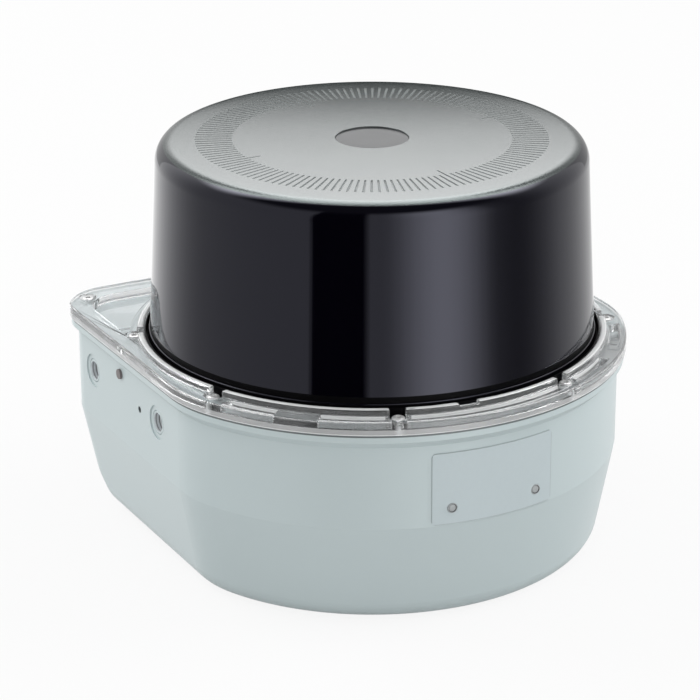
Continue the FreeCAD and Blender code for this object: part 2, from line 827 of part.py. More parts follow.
def make_frame():
    body = new_body("frame_moulding")
    plan = sketch_on(body, "frame_plan", "XY_Plane", dim.base_height)
    round_front(plan, 0)
    plate = pad(body, "frame_plate", plan, dim.frame_height)
    fillet(body, "frame_edge", plate, dim.frame_round, lambda edge: level(edge, frame_top))
    lip = sketch_on(body, "lip_plan", "XY_Plane", dim.base_height)
    circle(lip, dim.lip_radius + dim.lip_wall)
    pad(body, "lip", lip, dim.lip_height)
    eye = sketch_on(body, "frame_eye_plan", "XY_Plane", dim.base_height + dim.lip_height)
    circle(eye, dim.lip_radius)
    pocket(body, "frame_eye", eye, dim.lip_height)
    step = sketch_on(body, "hood_step_plan", "XY_Plane", dim.base_height)
    circle(step, dim.hood_flange_radius + dim.hole_fit)
    pocket(body, "hood_step", step, dim.screw_floor, reverse=True)
    sinks = sketch_on(body, "screw_sink_plan", "XY_Plane", screw_seat)
    holes = sketch_on(body, "screw_hole_plan", "XY_Plane", screw_seat)
    for x, y in frame_screw_places:
        circle(sinks, dim.screw_sink_radius, x, y)
        circle(holes, dim.screw_radius + dim.hole_fit, x, y)
    pocket(body, "screw_sinks", sinks, dim.lip_height, reverse=True)
    pocket(body, "screw_holes", holes, dim.screw_floor)
    # each ring screw's sink opens through the lip
    notch = sketch_on(body, "lip_notch_plan", "XY_Plane", screw_seat)
    half = dim.screw_notch_width / 2
    inside = dim.lip_radius - dim.overlap
    for angle in ring_screw_angles:
        polygon(notch, [from_front(inside, angle, -half), from_front(dim.screw_ring, angle, -half),
                        from_front(dim.screw_ring, angle, half), from_front(inside, angle, half)])
    pocket(body, "lip_notches", notch, dim.lip_height, reverse=True)

    wall_left = dim.screw_sink_radius + dim.screw_wall

    def screw_bosses(name, base):
        return [cylinder(f"{name}_boss_{index}", wall_left, dim.lip_height, x=x, y=y, z=base)
                for index, (x, y) in enumerate(frame_screw_places)]

    channel_base = dim.base_height + dim.channel_floor
    ring = tube("channel_ring", dim.channel_outer, dim.channel_inner, dim.lip_height, channel_base)
    front_half = block("channel_reach", (-dim.front_radius, dim.front_radius),
                       (-dim.front_radius, -dim.channel_back), (channel_base, channel_base + dim.lip_height))
    front_ring = common("channel_front", ring, front_half)
    # the moulding stays solid in a window half-way between the screws
    windows = [ring_block(f"window_{name}", (dim.lip_radius, dim.front_radius), side * dim.window_angle,
                          dim.window_width, (channel_base, channel_base + dim.lip_height))
               for name, side in (("left", -1), ("right", 1))]
    channels = cut("channels", front_ring, *screw_bosses("channel", channel_base), *windows)

    pocket_base = dim.base_height + dim.pocket_floor
    lip_keep = cylinder("pocket_lip_keep", dim.lip_radius + dim.lip_wall + dim.pocket_clear, dim.lip_height,
                        z=pocket_base)
    rear_bosses = fuse("pocket_keep", lip_keep, *screw_bosses("pocket", pocket_base))
    edge = dim.half_width - dim.pocket_border
    rear = dim.rear_reach - dim.pocket_rear_border
    corner_x, corner_y = edge - dim.pocket_corner, rear - dim.pocket_corner
    pocket_levels = (pocket_base, pocket_base + dim.lip_height)
    pockets = []
    for side, name in ((-1, "left"), (1, "right")):

        def across(outside):
            return (-outside, -dim.pocket_side) if side < 0 else (dim.pocket_side, outside)

        deep = block(f"{name}_pocket_deep", across(corner_x), (dim.pocket_start, rear), pocket_levels)
        wide = block(f"{name}_pocket_wide", across(edge), (dim.pocket_start, corner_y), pocket_levels)
        bend = cylinder(f"{name}_pocket_bend", dim.pocket_corner, dim.lip_height, x=side * corner_x,
                        y=corner_y, z=pocket_base)
        plan = fuse(f"{name}_pocket_plan", deep, wide, bend)
        pockets.append(cut(f"{name}_pocket", plan, rear_bosses))
    lip_top = dim.base_height + dim.lip_height
    index_mark = ring_block("index_notch", (dim.lip_radius - dim.overlap, dim.lip_radius + dim.lip_wall),
                            dim.index_angle, dim.index_width,
                            (lip_top - dim.index_depth, lip_top + dim.overlap))
    return cut("clear_frame", body, channels, *pockets, index_mark)


# Dark optic hood: drafted cup with a clamped flange, a bead and a shallow disc in its top

def make_hood():
    base = dim.base_height
    hood_under = hood_top - dim.hood_wall
    inner_top = dim.hood_top_radius - dim.hood_wall
    body = turned("hood_cup", [
        (0, hood_top - dim.disc_depth), (dim.disc_radius, hood_top - dim.disc_depth),
        (dim.disc_radius, hood_top), (dim.hood_top_radius, hood_top),
        (dim.hood_foot_radius, base + dim.hood_bead_height),
        (dim.hood_bead_radius, base + dim.hood_bead_height),
        (dim.hood_bead_radius, base + dim.hood_flange_thick),
        (dim.hood_flange_radius, base + dim.hood_flange_thick), (dim.hood_flange_radius, base),
        (dim.hood_foot_radius - dim.hood_wall, base), (inner_top, hood_under), (0, hood_under)])
    outer_round = fillet(body, "hood_round", body.Tip, dim.hood_round,
                         lambda edge: ring_edge(edge, dim.hood_top_radius, hood_top))
    fillet(body, "hood_inner_round", outer_round, dim.hood_inner_round,
           lambda edge: ring_edge(edge, inner_top, hood_under))
    body.Label = "optic_hood"
    return body


def make_label():
    """Curved film on the front wall with a hole for each light."""
    body = new_body("label_blank")
    top = dim.base_height - dim.label_drop
    plan = sketch_on(body, "label_plan", "XZ_Plane")
    half = dim.label_width / 2
    foot = top - dim.label_height
    polygon(plan, [(-half, foot), (half, foot), (half, top), (-half, top)])
    film = pad(body, "label_film", plan, dim.front_radius)
    fillet(body, "label_corners", film, dim.label_corner,
           lambda edge: edge.BoundBox.YLength > dim.front_radius.value / 2)
    skin = tube("label_skin", wall_radius + dim.label_thick, wall_radius, dim.base_height)
    lights = [cylinder(f"label_light_{side}", dim.light_radius + dim.slip_fit, dim.front_radius,
                       x=side * dim.light_across, z=light_height, axis=vector(1, 0, 0), angle=90)
              for side in (-1, 1)]
    return cut("front_label", common("label_curve", body, skin), *lights)


def make_light(name, side):
    wall = root(wall_radius * wall_radius - dim.light_across * dim.light_across)
    face = wall + dim.label_thick + dim.light_proud
    return cylinder(name, dim.light_radius, dim.light_length, x=side * dim.light_across,
                    y=dim.light_length - face, z=light_height, axis=vector(1, 0, 0), angle=90)


def make_inserts():
    inserts = []
    for side, facing in ((-1, vector(0, -1, 0)), (1, vector(0, 1, 0))):
        for number, row in enumerate(mount_rows):
            name = f"insert_{'left' if side < 0 else 'right'}_{number}"
            where = dict(x=side * (wall_half - dim.spot_depth - dim.insert_length), y=row, z=mount_height,
                         axis=facing, angle=90)
            barrel = cylinder(name + "_barrel", dim.insert_radius, dim.insert_length, **where)
            thread = cylinder(name + "_thread", dim.mount_thread_radius, dim.insert_length, **where)
            inserts.append(cut(name, barrel, thread))
    return group("mount_inserts", inserts)


def make_vent():
    return cylinder("vent_plug", dim.vent_radius, dim.wall_thick + dim.vent_proud,
                    x=dim.wall_thick - wall_half, y=dim.vent_along, z=dim.base_height - dim.vent_drop,
                    axis=vector(0, -1, 0), angle=90)


def make_frame_screws():
    return group("frame_screws", [
        pan_screw(f"frame_screw_{number}", dim.screw_head_radius, dim.screw_head_height, dim.screw_radius,
                  dim.screw_floor + dim.screw_grip, x, y, screw_seat)
        for number, (x, y) in enumerate(frame_screw_places)])


# Rear connectors: threaded shells in the sloping wall, moulded contact carriers, contacts and lock nuts

def make_connector(name, x, socket):
    rear = dim.plug_rear_length
    flange_top = rear + dim.plug_flange_thick
    outline = [(dim.plug_bore, 0), (dim.plug_rear_radius, 0), (dim.plug_rear_radius, rear),
               (dim.plug_flange_radius, rear), (dim.plug_flange_radius, flange_top)]
    if socket:
        tip = flange_top + dim.socket_length
        step = tip - dim.socket_depth
        outline += [(dim.socket_outer, flange_top), (dim.socket_outer, tip), (dim.socket_bore, tip),
                    (dim.socket_bore, step), (dim.plug_bore, step)]
    else:
        tip = flange_top + dim.plug_thread_length
        outline += [(dim.plug_thread_radius, flange_top), (dim.plug_thread_radius, tip),
                    (dim.plug_bore, tip)]
    shell = place(turned(f"{name}_connector_shell", outline), **slope_point(rear, x))

    where = slope_point(rear - dim.insert_back, x)
    if socket:
        shoulder = step - dim.insert_back
        nose = tip - dim.socket_nose_recess - dim.insert_back
        carrier = turned(f"{name}_carrier_core", [
            (0, 0), (dim.insert_body_radius, 0), (dim.insert_body_radius, shoulder),
            (dim.socket_nose_radius, shoulder), (dim.socket_nose_radius, nose), (0, nose)])
        face = sketch_on(carrier, f"{name}_contact_plan", "XY_Plane", nose)
        circle(face, dim.contact_radius, *polar(dim.contact_ring_radius, quarter))
        hole = pocket(carrier, f"{name}_contact_hole", face, dim.contact_length)
        around(carrier, f"{name}_contact_holes", hole, quarter_count)
        carrier.Label = f"{name}_connector_insert"
        place(carrier, **where)
        contacts = []
    else:
        face_height = tip - dim.insert_recess
        carrier = cylinder(f"{name}_connector_insert", dim.insert_body_radius,
                           face_height - dim.insert_back, **where)
        contacts = [make_contacts(name, x, face_height - rear)]
    nut = doc.addObject("Part::Prism", f"{name}_nut_blank")
    nut.Polygon = nut_sides
    bind(nut, "Circumradius", dim.nut_radius)
    bind(nut, "Height", dim.nut_thick)
    seat = slope_point(dim.slope_wall + dim.nut_thick, x)
    place(nut, **seat)
    bore = cylinder(f"{name}_nut_bore", dim.plug_rear_radius + dim.slip_fit, dim.nut_thick, **seat)
    lock = cut(f"{name}_connector_nut", nut, bore)
    return [shell, carrier, lock], contacts


def make_contacts(name, x, reach):
    """Round pins on the face of a contact carrier, patterned about the connector's own axis."""
    pins = new_body(f"{name}_pins")
    plan = sketch_on(pins, f"{name}_pin_plan", "XY_Plane")
    circle(plan, dim.contact_radius, *polar(dim.contact_ring_radius, quarter))
    first = pad(pins, f"{name}_pin", plan, dim.contact_length)
    around(pins, f"{name}_pin_ring", first, quarter_count)
    return place(pins, **slope_point(-reach, x))


# Electronics in the base

def make_boards():
    seat = dim.board_seat
    top = seat + dim.board_thick
    disc = cylinder("board_disc", dim.board_radius, dim.board_thick, z=seat)
    trim = block("board_trim", (-dim.board_radius, dim.board_radius), (-dim.board_radius, dim.board_flat),
                 (seat, top))
    corners = [polar(dim.board_screw_ring, quarter + full_turn / quarter_count * step)
               for step in range(quarter_count)]
    holes = [cylinder(f"board_hole_{number}", dim.screw_radius + dim.hole_fit, dim.board_thick,
                      x=x, y=y, z=seat)
             for number, (x, y) in enumerate(corners)]
    board = cut("main_board", common("board_plan", disc, trim), *holes)
    screws = group("board_screws", [
        pan_screw(f"board_screw_{number}", dim.screw_head_radius, dim.screw_head_height, dim.screw_radius,
                  dim.board_thick + dim.screw_grip, x, y, top)
        for number, (x, y) in enumerate(corners)])
    half = dim.chip_side / 2
    chip = block("processor_chip", (-half, half), (-dim.chip_forward - half, half - dim.chip_forward),
                 (top, top + dim.chip_thick))
    wide, deep = dim.header_width / 2, dim.header_depth / 2
    headers = group("board_headers", [
        block(f"board_header_{step + 1}",
              (step * dim.header_pitch - wide, step * dim.header_pitch + wide),
              (dim.header_along - deep, dim.header_along + deep), (top, top + dim.header_height))
        for step in (-1, 0, 1)])
    capacitors = group("supply_capacitors", [
        cylinder(f"capacitor_{step + 1}", dim.capacitor_radius, dim.capacitor_height,
                 x=-dim.capacitor_across, y=step * dim.capacitor_pitch, z=top)
        for step in (-1, 0, 1)])
    return [board, screws, chip, headers, capacitors]


# Fixed optics: chassis with its lens tube, lens, laser barrel and detector

def make_chassis():
    seat, top = dim.chassis_seat, chassis_top
    stator_seat = top + dim.stator_seat_height
    shoulder = top + dim.tube_shoulder_height
    tube_top = seat + dim.tube_height
    lens_seat = tube_top - dim.lens_seat_depth
    yoke = dim.stator_radius - dim.stator_yoke
    body = turned("chassis_casting", [
        (dim.tube_bore, seat), (dim.chassis_radius, seat), (dim.chassis_radius, top),
        (dim.stator_radius, top), (dim.stator_radius, stator_seat), (yoke, stator_seat), (yoke, top),
        (dim.tube_shoulder_radius, top), (dim.tube_shoulder_radius, shoulder),
        (dim.tube_radius, shoulder), (dim.tube_radius, tube_top),
        (dim.lens_radius + dim.slip_fit, tube_top), (dim.lens_radius + dim.slip_fit, lens_seat),
        (dim.tube_bore, lens_seat)])
    plan = sketch_on(body, "chassis_hole_plan", "XY_Plane", top)
    circle(plan, dim.post_screw_radius + dim.hole_fit, *polar(dim.post_ring, quarter))
    hole = pocket(body, "chassis_hole", plan, dim.chassis_thick)
    around(body, "chassis_holes", hole, quarter_count)
    under = sketch_on(body, "detector_tap_plan", "XY_Plane", seat)
    circle(under, dim.detector_screw_radius + dim.slip_fit, dim.detector_screw_ring, 0)
    tap = pocket(body, "detector_tap", under, dim.detector_screw_grip + dim.slip_fit, reverse=True)
    around(body, "detector_taps", tap, quarter_count)
    body.Label = "scanner_chassis"
    screws = group("chassis_screws", [
        pan_screw(f"chassis_screw_{step}", dim.post_head_radius, dim.post_head_height, dim.post_screw_radius,
                  dim.chassis_thick + dim.post_screw_grip,
                  *polar(dim.post_ring, quarter + full_turn / quarter_count * step), top)
        for step in range(quarter_count)])
    return [body, screws]


def make_optics():
    lens_seat = dim.chassis_seat + dim.tube_height - dim.lens_seat_depth
    crown = lens_seat + dim.lens_edge + dim.lens_crown
    lens = turned("receiver_lens", [
        (dim.laser_radius + dim.slip_fit, lens_seat), (dim.lens_radius, lens_seat),
        (dim.lens_radius, lens_seat + dim.lens_edge),
        (dim.lens_radius - dim.lens_knee_width, crown - dim.lens_knee_drop),
        (dim.laser_collar, crown), (dim.laser_radius + dim.slip_fit, crown)])
    barrel_base = crown - dim.laser_length + dim.laser_collar_height
    laser = turned("laser_barrel", [
        (0, barrel_base), (dim.laser_radius, barrel_base), (dim.laser_radius, crown),
        (dim.laser_collar, crown), (dim.laser_collar, crown + dim.laser_collar_height),
        (0, crown + dim.laser_collar_height)])
    board_base = dim.chassis_seat - dim.board_thick
    disc = cylinder("detector_board_disc", dim.detector_board_radius, dim.board_thick, z=board_base)
    places = [polar(dim.detector_screw_ring, full_turn / quarter_count * step)
              for step in range(quarter_count)]
    holes = [cylinder(f"detector_board_hole_{number}", dim.detector_screw_radius + dim.hole_fit,
                      dim.board_thick, x=x, y=y, z=board_base)
             for number, (x, y) in enumerate(places)]
    board = cut("detector_board", disc, *holes)
    detector = cylinder("light_detector", dim.detector_radius, dim.detector_height, z=dim.chassis_seat)
    screws = group("detector_screws", [
        pan_screw(f"detector_screw_{number}", dim.detector_head_radius, dim.detector_head_height,
                  dim.detector_screw_radius, dim.board_thick + dim.detector_screw_grip, x, y, board_base,
                  head_up=False)
        for number, (x, y) in enumerate(places)])
    return [lens, laser, board, detector, screws]


# Bearings and motor

def make_bearing(name, base):
    """Sealed ring bearing with its shields set back between the two rings."""
    inner = dim.tube_radius + dim.slip_fit
    gap_start, gap_end = inner + dim.bearing_ring, dim.bearing_radius - dim.bearing_ring
    top = base + dim.bearing_width
    return turned(name, [
        (inner, base), (gap_start, base), (gap_start, base + dim.bearing_shield),
        (gap_end, base + dim.bearing_shield), (gap_end, base),
        (dim.bearing_radius, base), (dim.bearing_radius, top), (gap_end, top),
        (gap_end, top - dim.bearing_shield), (gap_start, top - dim.bearing_shield),
        (gap_start, top), (inner, top)])


def make_bearings():
    spacer = tube("bearing_spacer", dim.retainer_radius, dim.tube_radius + dim.slip_fit, dim.bearing_spread,
                  lower_bearing_base + dim.bearing_width)
    retainer = tube("bearing_retainer", dim.retainer_radius, dim.tube_radius + dim.slip_fit,
                    dim.retainer_thick, bearing_top)
    return [make_bearing("lower_bearing", lower_bearing_base), spacer,
            make_bearing("upper_bearing", upper_bearing_base), retainer]


def make_stator():
    base = chassis_top + dim.stator_seat_height
    bore = dim.stator_bore
    yoke = dim.stator_radius - dim.stator_yoke
    half = dim.tooth_width / 2
    core = new_body("stator_core")
    ring = sketch_on(core, "yoke_plan", "XY_Plane", base)
    circle(ring, dim.stator_radius)
    circle(ring, yoke)
    pad(core, "yoke", ring, dim.stator_height)
    tooth_plan = sketch_on(core, "tooth_plan", "XY_Plane", base)
    tooth_end = yoke + dim.overlap
    polygon(tooth_plan, [(bore, -half), (tooth_end, -half), (tooth_end, half), (bore, half)])
    tooth = pad(core, "tooth", tooth_plan, dim.stator_height)
    around(core, "teeth", tooth, dim.tooth_count)

    start = bore + dim.coil_start
    end = start + dim.coil_length
    reach = half + dim.coil_build
    coils = new_body("coil")
    coil_base = base - dim.coil_build
    coil_plan = sketch_on(coils, "coil_plan", "XY_Plane", coil_base)
    polygon(coil_plan, [(start, -reach), (end, -reach), (end, reach), (start, reach)])
    winding = pad(coils, "winding", coil_plan, dim.stator_height + 2 * dim.coil_build)
    fillet(coils, "winding_edges", winding, dim.coil_build / 2,
           lambda edge: edge.BoundBox.XLength > dim.coil_length.value - 1e-3)
    eye_plan = sketch_on(coils, "coil_eye_plan", "YZ_Plane", start)
    low, high = base - dim.slip_fit, base + dim.stator_height + dim.slip_fit
    wide = half + dim.slip_fit
    polygon(eye_plan, [(-wide, low), (wide, low), (wide, high), (-wide, high)])
    pocket(coils, "coil_eye", eye_plan, dim.coil_length, reverse=True)
    whole = body_pattern(coils, "stator_coils", dim.tooth_count)
    return [core, whole]


def body_pattern(body, name, count):
    """Separate copies of a finished body round the scan axis."""
    doc.recompute()
    copies = []
    for step in range(int(count.value)):
        copy = doc.addObject("Part::Compound", f"{body.Name}_{step}")
        copy.Links = [body]
        copies.append(place(copy, axis=vector(0, 0, 1), angle=full_turn / count * step) if step else copy)
    return group(name, copies)


def make_reader():
    """Fork that straddles the encoder disc, on its own foot."""
    disc = dim.hub_flange_base + dim.hub_flange_thick
    slot_low, slot_high = disc - dim.reader_clear, disc + dim.encoder_thick + dim.reader_clear
    spine = dim.encoder_radius + dim.reader_clear
    body = new_body("encoder_reader")
    section = sketch_on(body, "reader_section", "XZ_Plane")
    polygon(section, [(spine, chassis_top), (dim.reader_back, chassis_top),
                      (dim.reader_back, slot_high + dim.reader_jaw),
                      (dim.reader_reach, slot_high + dim.reader_jaw),
                      (dim.reader_reach, slot_high), (spine, slot_high), (spine, slot_low),
                      (dim.reader_reach, slot_low), (dim.reader_reach, slot_low - dim.reader_jaw),
                      (spine, slot_low - dim.reader_jaw)])
    pad(body, "reader_fork", section, dim.reader_width, midplane=True)
    return body


# Spinning head: hub on the bearings, magnet ring, encoder disc and the tilted mirror in its carrier

carrier_screw_places = [polar(dim.carrier_screw_ring, angle) for angle in
                        (dim.carrier_screw_angle, 180 - dim.carrier_screw_angle,
                         180 + dim.carrier_screw_angle, 360 - dim.carrier_screw_angle)]


def make_hub():
    bore = dim.bearing_radius + dim.running_fit
    flange_top = dim.hub_flange_base + dim.hub_flange_thick
    roof = bearing_top + dim.hub_roof_gap
    hub = turned("hub_turning", [
        (bore, dim.hub_base), (dim.hub_radius, dim.hub_base), (dim.hub_radius, dim.hub_flange_base),
        (dim.hub_flange_radius, dim.hub_flange_base), (dim.hub_flange_radius, flange_top),
        (dim.hub_neck_radius, flange_top), (dim.hub_neck_radius, dim.hub_height),
        (dim.hub_eye, dim.hub_height), (dim.hub_eye, roof), (bore, roof)])
    plan = sketch_on(hub, "hub_tap_plan", "XY_Plane", dim.hub_height)
    for x, y in carrier_screw_places:
        circle(plan, dim.carrier_screw_radius + dim.slip_fit, x, y)
    pocket(hub, "hub_taps", plan, dim.carrier_screw_grip + dim.tap_spare)
    hub.Label = "rotor_hub"
    magnet_inner = dim.hub_radius + dim.slip_fit
    magnet = tube("rotor_magnet", magnet_inner + dim.magnet_thick, magnet_inner, dim.magnet_height,
                  dim.magnet_base)
    return [hub, magnet]


def make_encoder():
    base = dim.hub_flange_base + dim.hub_flange_thick
    disc = new_body("encoder_disc")
    plan = sketch_on(disc, "encoder_plan", "XY_Plane", base)
    circle(plan, dim.encoder_radius)
    circle(plan, dim.hub_neck_radius + dim.slip_fit)
    pad(disc, "encoder_blank", plan, dim.encoder_thick)
    slot_plan = sketch_on(disc, "encoder_slot_plan", "XY_Plane", base + dim.encoder_thick)
    half_long, half_wide = dim.encoder_slot_length / 2, dim.encoder_slot_width / 2
    polygon(slot_plan, [(dim.encoder_slot_ring - half_long, -half_wide),
                        (dim.encoder_slot_ring + half_long, -half_wide),
                        (dim.encoder_slot_ring + half_long, half_wide),
                        (dim.encoder_slot_ring - half_long, half_wide)])
    slot = pocket(disc, "encoder_slot", slot_plan, dim.encoder_thick)
    around(disc, "encoder_slots", slot, dim.encoder_slot_count)
    return disc


def tilted_slab(name, half_width, length, depth, thick):
    """Slab in the mirror's plane, its front face the given depth behind the reflecting face."""
    along = length / 2
    behind = depth + thick
    rise, run = sine(dim.mirror_tilt), cosine(dim.mirror_tilt)
    slab = doc.addObject("Part::Box", name)
    bind(slab, "Length", 2 * half_width)
    bind(slab, "Width", length)
    bind(slab, "Height", thick)
    return place(slab, -half_width, along * run + behind * rise,
                 dim.mirror_height - along * rise + behind * run,
                 axis=vector(1, 0, 0), angle=180 - dim.mirror_tilt)


def make_carrier():
    ring = tube("carrier_ring", dim.hub_neck_radius, dim.carrier_eye, dim.carrier_thick, dim.hub_height)
    outer = dim.cheek_inner + dim.cheek_thick
    back = tilted_slab("carrier_back", outer, dim.back_plate_length, dim.mirror_thick, dim.back_plate_thick)
    # each cheek follows the back of the tilted plate
    ridge = dim.mirror_height + back_plate_depth / sine(dim.mirror_tilt)
    slant = tangent(dim.mirror_tilt)
    nose_top = (dim.back_plate_length / 2 * cosine(dim.mirror_tilt)
                - back_plate_depth * sine(dim.mirror_tilt))
    cheeks = new_body("carrier_cheek")
    section = sketch_on(cheeks, "cheek_section", "YZ_Plane", dim.cheek_inner)
    polygon(section, [(-dim.cheek_front, carrier_top - dim.overlap),
                      (dim.cheek_rear, carrier_top - dim.overlap),
                      (dim.cheek_rear, ridge - dim.cheek_rear * slant),
                      (-nose_top, ridge + nose_top * slant),
                      (-dim.mirror_radius, ridge + (2 * nose_top - dim.mirror_radius) * slant)])
    cheek = pad(cheeks, "cheek", section, dim.cheek_thick)
    both_sides(cheeks, "cheek_pair", cheek)
    whole = fuse("carrier_frame", ring, back, cheeks)
    holes = [cylinder(f"carrier_hole_{number}", dim.carrier_screw_radius + dim.hole_fit, dim.carrier_thick,
                      x=x, y=y, z=dim.hub_height)
             for number, (x, y) in enumerate(carrier_screw_places)]
    carrier = cut("mirror_carrier", whole, *holes)
    column = cylinder("mirror_column", dim.mirror_radius, 2 * dim.mirror_height)
    glass = tilted_slab("mirror_slab", dim.mirror_radius + dim.overlap, 4 * dim.mirror_radius, as_size(0),
                        dim.mirror_thick)
    mirror = common("scan_mirror", column, glass)
    screws = group("carrier_screws", [
        pan_screw(f"carrier_screw_{number}", dim.carrier_head_radius, dim.carrier_head_height,
                  dim.carrier_screw_radius, dim.carrier_thick + dim.carrier_screw_grip, x, y, carrier_top)
        for number, (x, y) in enumerate(carrier_screw_places)])
    weight_base = dim.hub_flange_base + dim.hub_flange_thick + dim.encoder_thick
    arc = tube("weight_ring", dim.weight_radius, dim.hub_neck_radius + dim.slip_fit, dim.weight_height,
               weight_base)
    front = block("weight_span", (-dim.weight_width / 2, dim.weight_width / 2),
                  (-dim.weight_radius, as_size(0)), (weight_base, weight_base + dim.weight_height))
    weight = common("balance_weight", arc, front)
    return [carrier, mirror, screws, weight]


# The whole sensor

def make_sensor():
    seal = tube("hood_seal", dim.seal_outer, dim.seal_inner, dim.seal_thick,
                dim.base_height - dim.seal_thick)
    nodes = [make_base(), make_frame(), make_hood(), make_label(), make_inserts(), make_vent(),
             make_frame_screws(), make_light("left_status_light", -1), make_light("right_status_light", 1),
             seal]
    contacts = []
    for name, x in connector_places.items():
        pieces, pins = make_connector(name, x, socket=name == "data")
        nodes += pieces
        contacts += pins
    nodes.append(group("connector_pins", contacts))
    nodes += make_boards() + make_chassis() + make_optics() + make_bearings() + make_stator()
    nodes += [make_reader()] + make_hub() + [make_encoder()] + make_carrier()
    return nodes


def check_and_export(nodes):
    doc.recompute()
    failed = [obj.Name for obj in doc.Objects if {"Invalid", "Error"} & set(obj.State)]
    if failed:
        raise RuntimeError(f"failed objects: {failed}")
    bad = [node.Label for node in nodes
           if node.Shape.isNull() or not node.Shape.isValid() or not node.Shape.Solids]
    if bad:
        raise RuntimeError(f"bad shapes: {bad}")
    os.makedirs("parts", exist_ok=True)
    for node in nodes:
        node.Shape.exportStep(f"parts/{node.Label}.step")
        print(node.Label, len(node.Shape.Solids), round(node.Shape.Volume, 1))


check_and_export(make_sensor())
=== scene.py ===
import bmesh
import bpy
import math
import numpy as np
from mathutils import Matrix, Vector


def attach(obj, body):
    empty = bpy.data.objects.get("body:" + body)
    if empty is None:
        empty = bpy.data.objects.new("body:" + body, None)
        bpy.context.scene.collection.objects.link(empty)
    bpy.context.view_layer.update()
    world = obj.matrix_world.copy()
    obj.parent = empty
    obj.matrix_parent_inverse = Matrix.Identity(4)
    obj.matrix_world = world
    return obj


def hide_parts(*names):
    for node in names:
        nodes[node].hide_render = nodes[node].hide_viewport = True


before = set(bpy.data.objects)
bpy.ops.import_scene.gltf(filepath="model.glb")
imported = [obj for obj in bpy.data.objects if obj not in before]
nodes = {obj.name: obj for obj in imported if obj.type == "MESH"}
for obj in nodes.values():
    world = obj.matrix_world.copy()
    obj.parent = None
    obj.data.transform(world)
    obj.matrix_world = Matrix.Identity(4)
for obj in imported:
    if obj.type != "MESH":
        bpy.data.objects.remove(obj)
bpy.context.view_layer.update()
mm = 0.001
tau = 2 * math.pi
print("frame loaded,", len(nodes), "nodes")


# shader sockets as Python values

class Wire:  # wraps one socket, and operators on it add Math nodes
    def __init__(self, tree, socket=None):
        self.tree, self.socket = tree, socket

    def node(self, kind, settings=None, inputs=None, out=0):
        made = self.tree.nodes.new("ShaderNode" + kind)
        for key, value in (settings or {}).items():
            setattr(made, key, value)
        for key, value in (inputs or {}).items():
            if isinstance(value, Wire):
                self.tree.links.new(value.socket, made.inputs[key])
            else:
                made.inputs[key].default_value = value
        return Wire(self.tree, made.outputs[out])

    def also(self, out):  # another output of the same node
        return Wire(self.tree, self.socket.node.outputs[out])

    def maths(self, operation, *values):
        return self.node("Math", {"operation": operation}, dict(enumerate(values)))

    def __add__(self, other):
        return self.maths("ADD", self, other)

    def __sub__(self, other):
        return self.maths("SUBTRACT", self, other)

    def __rsub__(self, other):
        return self.maths("SUBTRACT", other, self)

    def __mul__(self, other):
        return self.maths("MULTIPLY", self, other)

    def __truediv__(self, other):
        return self.maths("DIVIDE", self, other)

    def __neg__(self):
        return 0 - self

    def __abs__(self):
        return self.maths("ABSOLUTE", self)

    __radd__ = __add__
    __rmul__ = __mul__

    def axes(self):  # X, Y and Z of a place
        x = self.node("SeparateXYZ", inputs={0: self})
        return x, x.also(1), x.also(2)

    def ramp(self, low, high):  # smooth 0 to 1 between two values
        return self.node("MapRange", {"interpolation_type": "SMOOTHSTEP"},
                         {"Value": self, "From Min": low, "From Max": high})

    def blend(self, first, second):  # colour mix with this value as its factor
        return self.node("Mix", {"data_type": "RGBA"}, {0: self, 6: first, 7: second}, out=2)

    def shade(self, colour, low, high):  # a colour between two shares of itself
        return self.blend(tone(colour, low), tone(colour, high))

    def grey(self, most):  # this level as a share of most, as a colour
        return (self / most).blend((0, 0, 0, 1), (1, 1, 1, 1))

    def noise(self, scale, detail=2.0, stretch=None):  # self is a place; stretch scales each axis
        place = self
        if stretch is not None:
            place = self.node("VectorMath", {"operation": "MULTIPLY"}, {0: self, 1: stretch})
        return self.node("TexNoise", {}, {"Vector": place, "Scale": scale, "Detail": detail})

    def bump(self, depth):  # self is a height from 0 to 1, depth in metres
        return self.node("Bump", {}, {"Height": self, "Distance": depth, "Strength": 1.0})


def tone(colour, share):
    return tuple(c * share for c in colour[:3]) + (1.0,)


def newMaterial(name):
    material = bpy.data.materials.new(name)
    material.use_nodes = True
    return material, material.node_tree


def toSurface(wire):
    wire.tree.links.new(wire.socket, wire.tree.nodes["Material Output"].inputs["Surface"])


def finish(name, fixed, varied, lampShare=None):
    # constants go on the shader's own sockets, varied(place) gives the sockets that change over the surface
    material, tree = newMaterial(name)
    shader = tree.nodes["Principled BSDF"]
    for key, value in fixed.items():
        shader.inputs[key].default_value = value
    root = Wire(tree)
    for key, wire in varied(root.node("TexCoord", out="Object")).items():
        tree.links.new(wire.socket, shader.inputs[key])
    if lampShare:  # rays from lamps go straight through, so what lies under the clear piece is lit
        through = root.node("BsdfTransparent", {}, {"Color": tone(fixed["Base Color"], lampShare)})
        shadowed = root.node("LightPath", out="Is Shadow Ray")
        toSurface(root.node("MixShader", {}, {0: shadowed, 1: Wire(tree, shader.outputs[0]), 2: through}))
    return material


# painted casting: painted shadow along the joint under the frame, painted shade in the locating holes, and
# darker on the landing under the frame's front

paintLook = {"colour": (0.50, 0.575, 0.585), "shades": (0.97, 1.03), "cloudScale": 11.0,
             "roughness": 0.29, "roughSpread": 0.1, "peelScale": 1300.0, "peelDepth": 0.00001,
             "jointShadow": (59.4 * mm, 59.92 * mm), "soft": 0.06 * mm, "shadeAndLandTone": 0.28,
             "land": (59.93 * mm, 59.97 * mm), "landFront": (30.0 * mm, 36.0 * mm),
             "hole": (13.2 * mm, 45.9 * mm), "holeRadius": 1.1 * mm, "holeMouth": (69.45 * mm, 69.6 * mm)}


